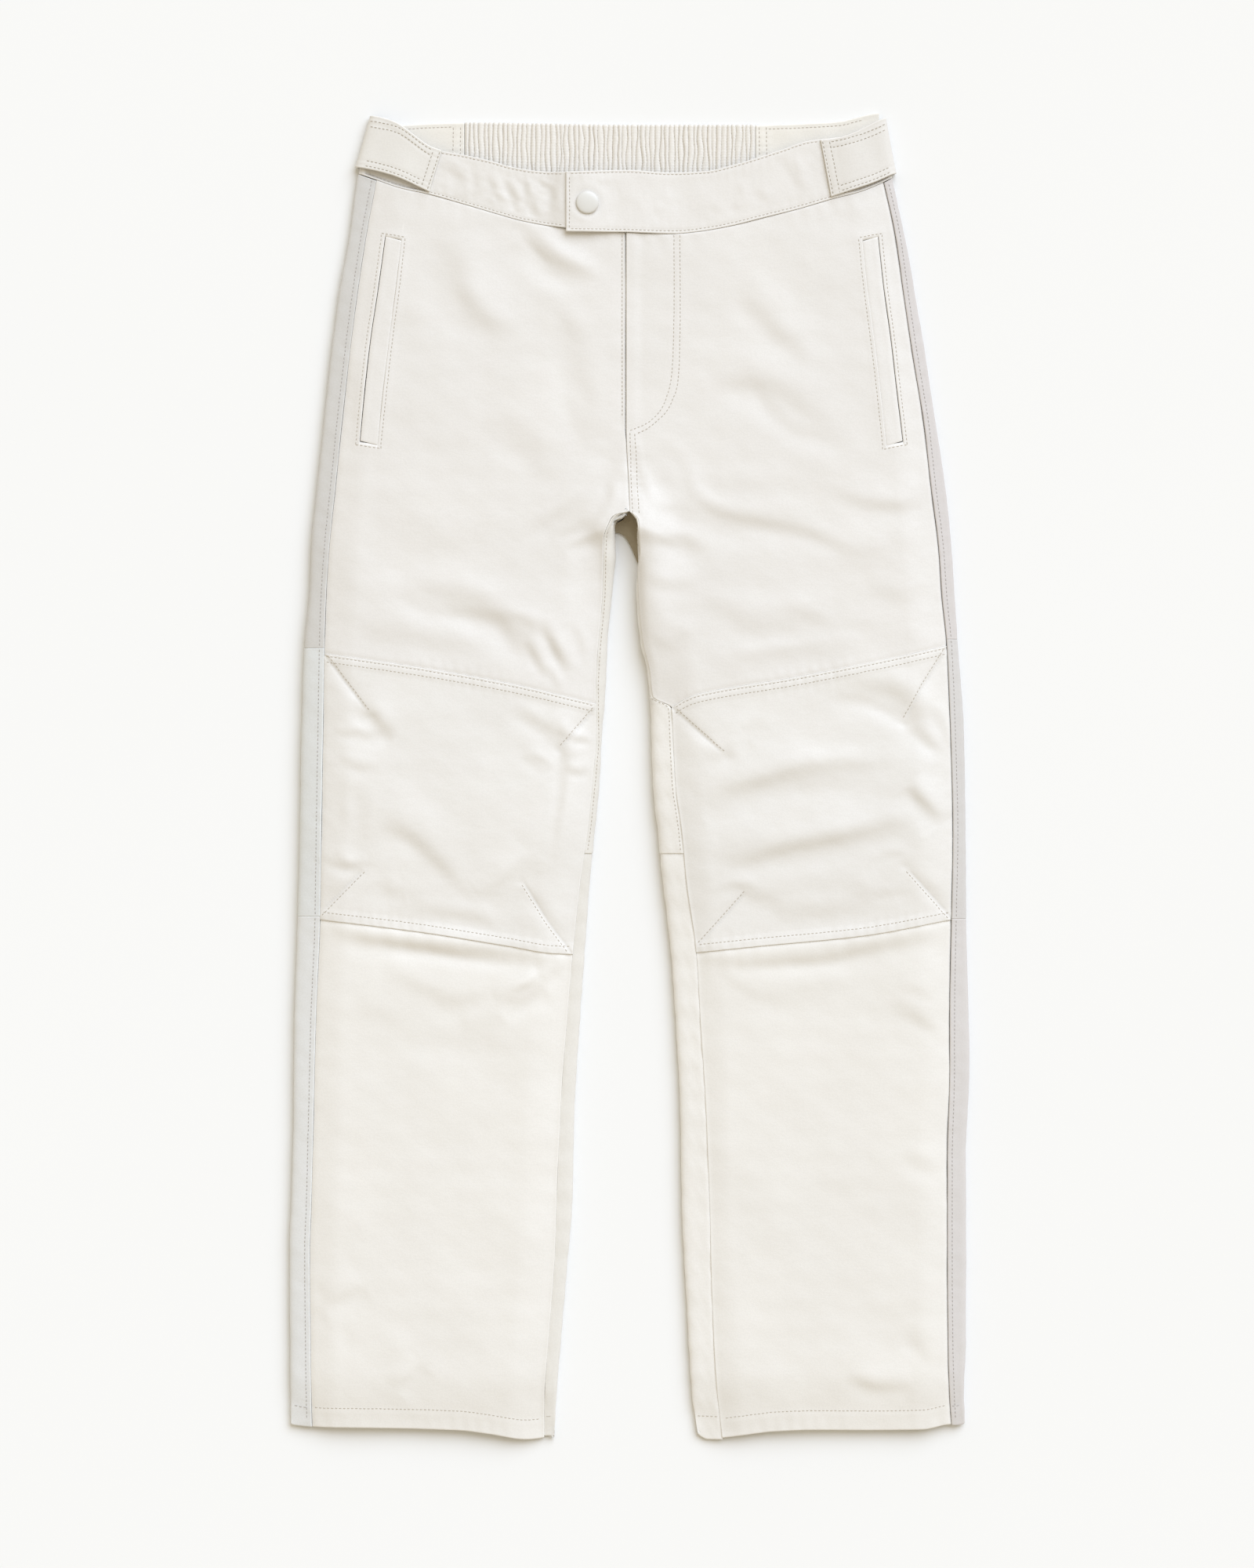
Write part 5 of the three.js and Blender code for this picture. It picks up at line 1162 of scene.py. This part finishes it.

# the low edge of the seat between the legs: a dark brown sheet whose colour is painted shade for the deep
# shadow there
v, u = np.linspace(0, 1, 25)[:, None], np.linspace(0, 1, 17)[None]
across = np.minimum(u * SEAT["spread"], 1.0) ** 2.8
y = mix(SEAT["top"], mix(SEAT["low_right"], SEAT["low_left"], across), v)
x = mix(-right.inner_at(y) - SEAT["tuck"], left.inner_at(y) + SEAT["tuck_left"], u)
z = SEAT["rise"] * (1 - v ** 2) * (0.5 + 0.5 * np.sin(math.pi * u)) + 2.6 + 0.25 * wave(x, y, 14.0, 91)
p = np.stack([x, y, z], -1)
panel("seat_edge", SEAT_SHADE_HIDE, None, p, grid_normals(p, 8), rounding(edge_distances(p)[3], 0.6), LEATHER)


# ---------------------------------------------------------------- pockets, straps and waistband
def between(leg, across, top_line, low_line, v):
    """Points of a grid whose rows run from one line to the other."""
    y = np.full(np.broadcast(v, across(np.float64(START_Y))).shape, START_Y)
    for _ in range(10):
        x = leg.point(y, across(y))[..., 0]
        y = mix(top_line(x), low_line(x), v)
    return leg.point(y, across(y))


def welt(leg):
    side, pocket = leg.name, POCKETS[leg.name]
    out_at, in_at = column(pocket["rows"], 1), column(pocket["rows"], 2)
    v, u = grid(172.0, 2.2, 14.0, 1.2)
    y_out = mix(pocket["out_top"] - SEWN, pocket["out_low"] + SEWN, v)
    y = mix(y_out, mix(pocket["in_top"] - SEWN, pocket["in_low"] + SEWN, v), u)
    p = leg.point(y, leg.on_front(y, mix(out_at(y) - MOUTH, in_at(y) + SEWN, u)))
    mouth_d, in_d, top_d, low_d = edge_distances(p)
    d = -WELT_SINK + rounding(mouth_d, 0.8) + lapped(in_d, 0.3, 1.2) + lapped(top_d, 0.3, 0.9)
    d += lapped(low_d, 0.2, 0.9) + 0.25 * bell((mouth_d - 3.0) / 2.2) + 0.08 * wave(p[..., 0], y, 21.0, 41)
    d += puckers(top_d, in_d, 3.0, 0.07, 14.0, 8.0)
    panel(f"pocket_welt_{side}", CREAMS["thigh"], "cream_leather", p, grid_normals(p), d, WELT)


def strap_lines(side):
    lines = STRAPS[side]
    return curve(lines["top"]), curve(lines["low"]), lines["end"]


def strap(leg):
    side, high = leg.name, STRAP_UP[leg.name]
    top_line, low_line, ends = strap_lines(side)
    v, u = grid(44.0, 1.2, 78.0, 1.3)

    def across(y):
        f = leg.frame_at(y)
        return by_blocks(u * 2, [-f.under * 0.32, f.arc, leg.on_front(y, mix(*ends, v))])

    p = between(leg, across, lambda x: top_line(x) + high * ease((np.abs(x) - 176) / 34), low_line, v)
    _, end_d, top_d, low_d = edge_distances(p)
    d = BAND_PROUD + LAY_GAP + STRAP + STRAP_BOW * v * v * (1 - ease((u - BOW_TO) / (1 - BOW_TO)))
    d = d + rims((end_d, 0.6), (top_d, 0.7), (low_d, 0.7)) + plateau(end_d, 0.3, 8.4, 2.0)
    d += grooves(top_d, (2.4, 0.2), (7.2, 0.22)) + grooves(low_d, (2.4, 0.2), (6.6, 0.22))
    d += grooves(end_d, (1.8, 0.24), (7.6, 0.24)) + 0.12 * wave(p[..., 0], p[..., 1], 33.0, 43)
    panel(f"side_strap_{side}", STRAP_CREAMS[side], "cream_leather_band", p, grid_normals(p), d, STRAP)


for leg in LEGS.values():
    welt(leg)
    strap(leg)

ROUND_SHARE, ROUND_PAST, PROUD_FROM = 0.22, 8.0, 0.08


def band_across(leg, y, u, last):
    """Across a front waistband: from the floor round the side, then over the front to the place last."""
    f = leg.frame_at(y)
    blocks = np.where(u < ROUND_SHARE, u / ROUND_SHARE, 1 + (u - ROUND_SHARE) / (1 - ROUND_SHARE))
    return by_blocks(blocks, [-f.under - BAND_FOOT, f.arc + ROUND_PAST, leg.on_front(y, last)])


def band_form(x, y, u, top_d, low_d, seed):
    """Creases and puckers, the slots behind the straps, and the lift of both layers at the closure."""
    body = with_folds(band_folds, x, y)
    body += 0.10 * rolling(x, y, 30.0, seed) + 0.03 * rolling(x * 1.6, y, 9.0, seed + 3)
    d = rims((top_d, 0.35), (low_d, 0.6)) + groove(top_d - 1.7, 0.2) + groove(low_d - 2.4, 0.25)
    d += 0.10 * wave(x, y, 31.0, seed)
    d += np.where(x < -52, 1.7, 0.8) * body * ease((top_d - 3) / 6) * ease((low_d - 2) / 5)
    d += puckers(x, top_d, 7.0, 0.12, seed + 1, 7.0) + puckers(x, low_d, 7.0, 0.12, seed + 2, 8.0)
    a, deep, start = np.abs(x), np.where(x < 0, 2.6, 1.2), np.where(x < 0, 163, 180)
    d -= deep * ease((a - start) / 14) * (1 - ease((a - 214) / 5)) * ease((low_d - 0.9) / 1.3)
    return d + BAND_PROUD * ease((u - PROUD_FROM) / PROUD_FROM) + buckle(x)


def buckle(x):
    return 3.0 * ease((x + 70) / 20) ** 1.4 * (1 - ease((x + 36) / 30))


def front_band(side, p, d):
    panel(f"waistband_front_{side}", CREAM_BANDS[side], "cream_leather_band", p, grid_normals(p), d, BAND)


def front_low(x):
    return band_low(x) + SEAM_GAP / 2


v, u = grid(48.0, 1.5, 232.0, 1.7)
p = between(right, lambda y: band_across(right, y, u, 2.0), band_top, front_low, v)
_, end_d, top_d, low_d = edge_distances(p)
front_band("right", p, band_form(p[..., 0], p[..., 1], u, top_d, low_d, 51) + rounding(end_d, 1.0))


def tab_low(x):
    edge = np.where(x < 0, mix(band_low(0.0), TAB_CORNER_Y, np.clip(x / TAB_END, 0, 1)), band_low(x))
    return edge + SEAM_GAP / 2


body = shares(232.0, 1.7, tail=False) * TAB_FROM
tab = TAB_FROM + shares(50.0, 1.4, head=False)[1:] * (1 - TAB_FROM)
u = np.concatenate([body, tab])
if len(u) % 2 == 0:
    u = np.insert(u, 8, 0.5 * (u[7] + u[8]))
v = shares(50.0, 1.4)[:, None]
on_left = u <= TAB_FROM + 1e-9
tab_x = mix(MIDDLE_X - 0.1, TAB_END, (u[~on_left][None] - TAB_FROM) / (1 - TAB_FROM))
band_u = u[on_left][None] / TAB_FROM
p = np.concatenate([
    between(left, lambda y: band_across(left, y, band_u, MIDDLE_X + 0.1), band_top, tab_low, v),
    between(right, lambda y: right.on_front(y, -tab_x), band_top, tab_low, v)], 1)
x, y = p[..., 0], p[..., 1]
_, end_d, top_d, low_d = edge_distances(p)
rise = ease((u[None] - TAB_FROM + 0.15) / 0.145)
round_snap = np.hypot(x - SNAP["x"], y - SNAP["y"])
d = band_form(x, y, u[None] / TAB_FROM, top_d, low_d, 61) + TAB_LIFT * rise
d = d + rounding(end_d, 1.2) + groove(end_d - 3.0, 0.25) * rise
d = d - 0.35 * bell((round_snap - 9.8) / 2.6) + 0.12 * bell((round_snap - 15.0) / 4.0)
front_band("left", p, d)

BACK_BANDS = dict(right=(-ELASTIC["start"], 0.0, 78.0), left=(ELASTIC["end"], 7.0, 106.0))
for side, (elastic_x, reach_out, long) in BACK_BANDS.items():
    leg = LEGS[side]
    v, u = grid(48.0, 2.0, long, 2.0)
    y = np.full((v.shape[0], u.shape[1]), START_Y)
    for _ in range(10):
        outer = leg.outer_at(y) - FOOT - BAND_FOOT - SEAM_GAP + reach_out
        x = leg.sign * mix(outer, elastic_x + SEAM_GAP, u)
        y = mix(back_band_top(x), back_band_low(x) + SEAM_GAP / 2, v)
    p = np.stack([x, y, np.full(x.shape, BAND)], -1)
    normals = grid_normals(p)
    out_d, in_d, top_d, low_d = edge_distances(p)
    d = rims((top_d, 0.6), (low_d, 0.6), (out_d, 0.5), (in_d, 0.5)) + plateau(in_d, 0.25, 10.0, 2.0)
    d += grooves(in_d, (3.0, 0.25), (9.0, 0.25)) + groove(top_d - 3.2, 0.2)
    d += 0.14 * wave(x, y, 30.0, 71) + puckers(top_d, in_d, 8.0, 0.15, 15.0, 6.0)
    panel(f"waistband_back_{side}", BAND_BACK, "cream_leather_back", p, normals, d,
          np.maximum((p + normals * d[..., None])[..., 2], 0.4))


def shirred_back():
    """Upright gathers, each wandering on its own, pinched by rows of elastic thread."""
    count, x0, x1 = ELASTIC["gathers"], ELASTIC["start"], ELASTIC["end"]
    cols, rows = count * 14, 88
    place = np.linspace(0, 1, cols + 1)[None] * np.ones((rows + 1, 1)) * count
    v = np.linspace(0, 1, rows + 1)[:, None] * np.ones((1, cols + 1))
    knots = np.linspace(0, 1, 9)
    wander = np.zeros((count + 1, rows + 1))
    for k in range(count + 1):
        moves = np.convolve(rng.normal(0, 0.16, len(knots)), [0.25, 0.5, 0.25], "same")
        wander[k] = np.interp(v[:, 0], knots, moves) * 1.5 + rng.normal(0, 0.07)
    wander[0], wander[-1] = 0, 0
    valleys = np.arange(count + 1)[:, None] + wander
    gather = np.clip(np.floor(place).astype(int), 0, count - 1)
    row = np.arange(rows + 1)[:, None] * np.ones((1, cols + 1), int)
    for _ in range(2):
        before, after = place < valleys[gather, row], place >= valleys[gather + 1, row]
        gather = np.clip(gather - before + after, 0, count - 1)
    a, b = valleys[gather, row], valleys[gather + 1, row]
    across = np.clip((place - a) / np.maximum(b - a, 0.2), 0, 1)
    lean = rng.normal(0, 0.10, count)[gather]
    ridge = np.sin(math.pi * np.clip(across + lean * across * (1 - across) * 2, 0, 1)) ** 0.30
    tall = (0.88 + 0.12 * rng.uniform(-1, 1, count))[gather]
    pinch = np.abs(np.sin(math.pi * (493 - mix(543.0, 493.6, v)) / 2.25))
    hold = (1 - ridge) * 0.35 + 0.10
    z = mix(ELASTIC["low"] - 1.0, ELASTIC["high"] * tall, ridge) - hold * (1 - pinch) ** 2
    edge = np.minimum(place, count - place) / count * (x1 - x0)
    x = mix(x0, x1, place / count)
    y = mix(back_band_top(x) + 0.2 + 1.0 * (ridge - 0.7) * ease(edge / 3), back_band_low(x) + 0.15, v)
    z = mix(ELASTIC["low"], z, ease(edge / 1.6)) - 0.5 * (1 - ease((y[0:1] - y) / 1.2))
    panel("waistband_back_elastic", GATHERED, "shirred_leather", np.stack([x, y, z], -1),
          np.broadcast_to(np.array([0.0, 0.0, 1.0]), (*z.shape, 3)), np.zeros_like(z), z)


shirred_back()

UNDERLAP = dict(right=12.0, left=9.0, top=453.5, low=280.0, wall=1.4)
v, u = grid(152.0, 4.0, 21.0, 2.0)
x = mix(-UNDERLAP["right"], UNDERLAP["left"], u) * np.ones_like(v)
y = mix(UNDERLAP["top"], UNDERLAP["low"], v) * np.ones_like(u)
top = np.where(x < 0, right.top_at(np.maximum(-x, 1), y), left.top_at(np.maximum(x, 1), y))
p = np.stack([x, y, top - LEATHER - LAY_GAP], -1)
panel("fly_underlap", CREAM_BANDS["right"], "cream_leather_band", p, grid_normals(p),
      rims(*((d, 0.6) for d in edge_distances(p))), UNDERLAP["wall"])


# snap: a turned dome with a rolled skirt
def lathe(name, rings, centre, sides=64):
    verts, faces = [], []
    for radius, z in rings:
        for k in range(sides):
            t = 2 * math.pi * k / sides
            verts.append((centre[0] + radius * math.cos(t), centre[1] + radius * math.sin(t), centre[2] + z))
    for base in range(0, (len(rings) - 1) * sides, sides):
        for k in range(sides):
            n = (k + 1) % sides
            faces.append((base + k, base + n, base + sides + n, base + sides + k))
    faces.append(tuple(range(sides))[::-1])
    last = len(verts)
    verts.append((centre[0], centre[1], centre[2] + rings[-1][1]))
    faces += [(last - sides + k, last - sides + (k + 1) % sides, last) for k in range(sides)]
    return make_mesh(name, verts, faces)


cap_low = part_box("snap_cap")[0][2] * 1000 + float(buckle(SNAP["x"]))
RADIUS, RISE, SHOULDER_Z = SNAP["radius"], SNAP["rise"], 1.1
cap_rings = [(RADIUS * share, z) for share, z in ((0.93, 0.0), (0.985, 0.15), (1.0, 0.5), (0.99, 0.85),
                                                  (0.965, SHOULDER_Z))]
cap_rings += [(RADIUS * 0.965 * math.cos(t * HALF_PI),
               SHOULDER_Z + (RISE - SHOULDER_Z) * math.sin(t * HALF_PI) ** 0.8)
              for t in (0.08, 0.18, 0.3, 0.45, 0.6, 0.75, 0.9, 0.98)]
cap = lathe("snap_cap_dome", cap_rings, (SNAP["x"], SNAP["y"], cap_low))
cap.data.materials.append(ENAMEL)
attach(cap, "root")
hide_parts("snap_cap")

# ---------------------------------------------------------------- stitching
STITCH, GAP, THREAD_RADIUS, ROUND = 2.3, 1.0, 0.34, 6
JITTER, PROUD, SHORTEST, STEEPEST, ABOVE_ALL, FACING_UP = 0.06, 0.10, 0.5, 2.5, 60.0, 0.05
THREAD_RINGS = ((0.0, 0.45, -0.30), (0.16, 0.85, -0.02), (0.5, 1.0, 0.06), (0.84, 0.85, -0.02),
                (1.0, 0.45, -0.30))


def tree_of(name):
    mesh = MADE[name].data
    co = np.zeros(len(mesh.vertices) * 3, np.float32)
    mesh.vertices.foreach_get("co", co)
    return BVHTree.FromPolygons([Vector(c) for c in co.reshape(-1, 3) * 1000],
                                [tuple(f.vertices) for f in mesh.polygons])


def along_path(path, spacing):
    """Points every spacing along a path of x, y points."""
    path = np.asarray(path, float)
    s = np.concatenate([[0], np.cumsum(np.linalg.norm(np.diff(path, axis=0), axis=1))])
    at = np.linspace(0, s[-1], max(1, int(s[-1] / spacing)) + 1)
    return np.stack([np.interp(at, s, path[:, 0]), np.interp(at, s, path[:, 1])], -1)


def capsule(a, b, up, verts, faces):
    """A short thread from a to b with thin ends that dip into the hide."""
    run = b - a
    length = np.linalg.norm(run)
    run = run / length
    across = np.cross(run, up)
    across /= np.linalg.norm(across)
    rise = np.cross(across, run)
    base = len(verts)
    for share, size, lift in THREAD_RINGS:
        centre = a + run * length * share + rise * lift
        for k in range(ROUND):
            t = 2 * math.pi * k / ROUND
            verts.append(centre + (across * math.cos(t) + rise * math.sin(t) * 0.8) * THREAD_RADIUS * size)
    for i in range(base, len(verts) - ROUND, ROUND):
        for k in range(ROUND):
            n = (k + 1) % ROUND
            faces.append((i + k, i + n, i + ROUND + n, i + ROUND + k))
    faces.append(tuple(base + k for k in range(ROUND))[::-1])
    faces.append(tuple(len(verts) - ROUND + k for k in range(ROUND)))


def sew(name, piece, rows, material=THREAD):
    """All the stitches of one piece, joined into one mesh. A stitch that would miss the hide is left out."""
    tree, verts, faces = tree_of(piece), [], []
    for path in rows:
        places = along_path(path, STITCH + GAP)
        for a, b in zip(places[:-1], places[1:]):
            jitter = rng.normal(0, JITTER, 2)
            end = a + (b - a) * (STITCH / (STITCH + GAP))
            hits = [tree.ray_cast(Vector((*(p + jitter), ABOVE_ALL)), Vector((0, 0, -1))) for p in (a, end)]
            if any(h[0] is None or h[1][2] < FACING_UP for h in hits):
                continue
            pa, pb = (np.array(h[0]) for h in hits)
            up = np.array(hits[0][1]) + np.array(hits[1][1])
            up /= np.linalg.norm(up)
            if np.linalg.norm(pb - pa) >= SHORTEST and abs(pb[2] - pa[2]) <= STEEPEST:
                capsule(pa + up * PROUD, pb + up * PROUD, up, verts, faces)
    obj = make_mesh(name, np.array(verts), faces)
    obj.data.materials.append(material)
    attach(obj, "root")


def row_along(at, x_from, x_to, shift, n=120):
    xs = np.linspace(x_from, x_to, n)
    return np.stack([xs, at(xs) + shift], -1)


def row_down(leg, a_at, y_from, y_to, shift=0.0, n=160):
    ys = np.linspace(y_from, y_to, n)
    return np.stack([leg.sign * (a_at(ys) + shift), ys], -1)


def dart_row(dart):
    path = np.array(dart, float)
    run = path[-1] - path[0]
    return path + np.array([-run[1], run[0]]) / np.hypot(*run) * side_sign(dart) * 2.0


def window_rows(leg, away=2.9):
    """Round the pocket window, this far from its edges."""
    pocket = POCKETS[leg.name]
    outer, inner = (row_down(leg, column(pocket["rows"], i), pocket[f"{edge}_low"] - away,
                             pocket[f"{edge}_top"] + away, shift)
                    for i, edge, shift in ((1, "out", away), (2, "in", -away)))
    return [outer, inner, np.array([outer[-1], inner[-1]]), np.array([outer[0], inner[0]])]


OUTER_FLY = [43.9, 451, 44.2, 399, 43.9, 362, 43.2, 340.3, 41.4, 324, 38.2, 315.1, 34.5, 306.9,
             29.3, 300.5, 22.8, 294.8, 15.4, 289.3, 8.1, 286]
FLY_ROWS = dict(
    left=[fly_path, smooth_path(OUTER_FLY, 60), [(2.5, 287), (3.1, 268.8), (3.6, 243), (4.9, 219)],
          [(6.4, 286), (7.7, 268.8), (8.6, 243), (10.2, 219)]],
    right=[[(-4.0, 451), (-4.0, 380), (-3.8, 300)]])
# rows: where the rows along the knee's upper and lower seam and along the hem start and end
ROW_ENDS = dict(right=((-28.5, -250.0), (-47.5, -252.5), (-73.0, -260.0)),
                left=((40.5, 264.5), (60.0, 267.5), (82.0, 265.0)))
for leg in LEGS.values():
    side, sg = leg.name, leg.sign
    knee_top, knee_low, hem = LINES[side]
    top_ends, low_ends, hem_ends = ROW_ENDS[side]
    sew(f"stitches_knee_{side}", f"front_knee_{side}",
        [row_along(knee_top, *top_ends, -1.9), row_along(knee_top, *top_ends, -6.6),
         row_along(knee_low, *low_ends, 6.8), *map(dart_row, DARTS[side])])
    sew(f"stitches_thigh_{side}", f"front_thigh_{side}", window_rows(leg) + FLY_ROWS[side])
    sew(f"stitches_shin_{side}", f"front_shin_{side}", [row_along(hem, *hem_ends, 16.6)])
    high, low = STRIPE_SEAMS[side]
    hem_row = row_along(hem, sg * 266.0, sg * 277.0, 16.2, 10)
    for part, y0, y1, more in (("thigh", 500.0, high + 1, []), ("knee", high - 1, low + 1, []),
                               ("shin", low - 1, -531.0, [hem_row])):
        sew(f"stitches_stripe_{part}_{side}", f"stripe_{part}_{side}",
            [row_down(leg, leg.stripe_at, y0, y1, 3.9), *more], THREAD_GREY)
    sew(f"stitches_back_thigh_{side}", f"back_thigh_{side}",
        [row_down(leg, lambda ys: leg.seam_at(ys) - 2.2, 205, -60.0)])
    sew(f"stitches_back_shin_{side}", f"back_shin_{side}",
        [[(sg * (leg.seam_at(-524.0) - 1.0), -529.0), (sg * (leg.inner_at(-524.0) + 2.0), -528.5)]])

    strap_top, strap_low, (e0, e1) = strap_lines(side)
    out_x = 214.0 if sg < 0 else 215.0
    y_top, y_low = float(strap_top(sg * e0)), float(strap_low(sg * e1))
    rows = [row_along(line, sg * start, sg * (out_x + more), shift) for line, start, more, shift in (
        (strap_top, e0 + 9, 0, -2.4), (strap_top, e0 + 10, 0, -7.2), (strap_low, e1 + 9, 4, 2.4),
        (strap_low, e1 + 8, 3, 6.8))]
    rows += [[(sg * (e0 + shift), y_top - 1.5), (sg * (e1 + shift), y_low + 1.5)] for shift in (1.8, 7.6)]
    sew(f"stitches_strap_{side}", f"side_strap_{side}", rows, THREAD_DARK)

sew("stitches_band_right", "waistband_front_right",
    [row_along(band_top, -54.0, -158.0, -1.7), row_along(band_low, -54.0, -219.0, 2.4)])
sew("stitches_band_left", "waistband_front_left",
    [row_along(band_top, -46.5, 159.0, -1.7), row_along(tab_low, -46.5, 217.0, 2.4),
     [(TAB_END + 3.0, 498.6), (TAB_END + 3.2, 478.0), (TAB_END + 2.9, 455.6)]])
for side, (elastic_x, *_) in BACK_BANDS.items():
    sg = LEGS[side].sign
    rows = [[(sg * (elastic_x + k), 541.5), (sg * (elastic_x + k + 0.6), 500.0)] for k in (3.3, 9.3)]
    rows.append(row_along(back_band_top, sg * (elastic_x + 11), sg * 196.0, -3.2))
    sew(f"stitches_band_back_{side}", f"waistband_back_{side}", rows)

# ---------------------------------------------------------------- floor, light and camera
FLOOR_REACH, FLOOR_DROP = 6.0, 0.0004
FLOOR_TONES = (0.880, 0.880, 0.868, 1), (0.872, 0.872, 0.860, 1)
SKY, SKY_STRENGTH = (1.125, 1.005, 0.79, 1), 0.57
SUN_COLOR, SUN_ENERGY, SUN_WIDTH, SUN_FROM = (0.868, 0.998, 1.225), 2.36, 54, (0.55, 0.92, 1.0)
DISTANCE, TALL, PLANE, SENSOR, MIDDLE_Y = 5.0, 1.300, 0.012, 36.0, -0.0042
scene = bpy.context.scene


def placed(name, data):
    obj = bpy.data.objects.new(name, data)
    scene.collection.objects.link(obj)
    return obj


floor_mesh = bpy.data.meshes.new("floor")
corners = [(x * FLOOR_REACH, y * FLOOR_REACH, 0) for x, y in ((-1, -1), (1, -1), (1, 1), (-1, 1))]
floor_mesh.from_pydata(corners, [], [(0, 1, 2, 3)])
floor = placed("floor", floor_mesh)
floor.location.z = -FLOOR_DROP
n = Nodes("pale_floor")
n.fill(n.shader, {"Base Color": n.blend(n.remap(n.noise(1.3, 2.0, 0.5), 0.3, 0.7, 0, 1), *FLOOR_TONES),
                  "Roughness": 0.95, "Specular IOR Level": 0.1})
floor.data.materials.append(n.material)

world = bpy.data.worlds.new("studio")
scene.world = world
world.use_nodes = True
background = world.node_tree.nodes["Background"]
background.inputs["Color"].default_value = SKY
background.inputs["Strength"].default_value = SKY_STRENGTH

sun_data = bpy.data.lights.new("softbox", "SUN")
sun_data.energy = SUN_ENERGY
sun_data.angle = math.radians(SUN_WIDTH)
sun_data.color = SUN_COLOR
sun = placed("softbox", sun_data)
sun.rotation_mode = "QUATERNION"
sun.rotation_quaternion = Vector(SUN_FROM).normalized().to_track_quat("Z", "Y")

camera_data = bpy.data.cameras.new("camera")
camera_data.sensor_width = SENSOR
camera_data.lens = SENSOR * DISTANCE / TALL
camera_data.clip_end = 50.0
camera = placed("camera", camera_data)
camera.location = (0.0, MIDDLE_Y, DISTANCE + PLANE)
scene.camera = camera
scene.view_settings.view_transform = "Standard"
scene.view_settings.look = "None"

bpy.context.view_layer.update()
solid = [o for o in bpy.data.objects if o.type == "MESH" and not o.hide_render]
print("triangles", sum(len(o.data.polygons) for o in solid))
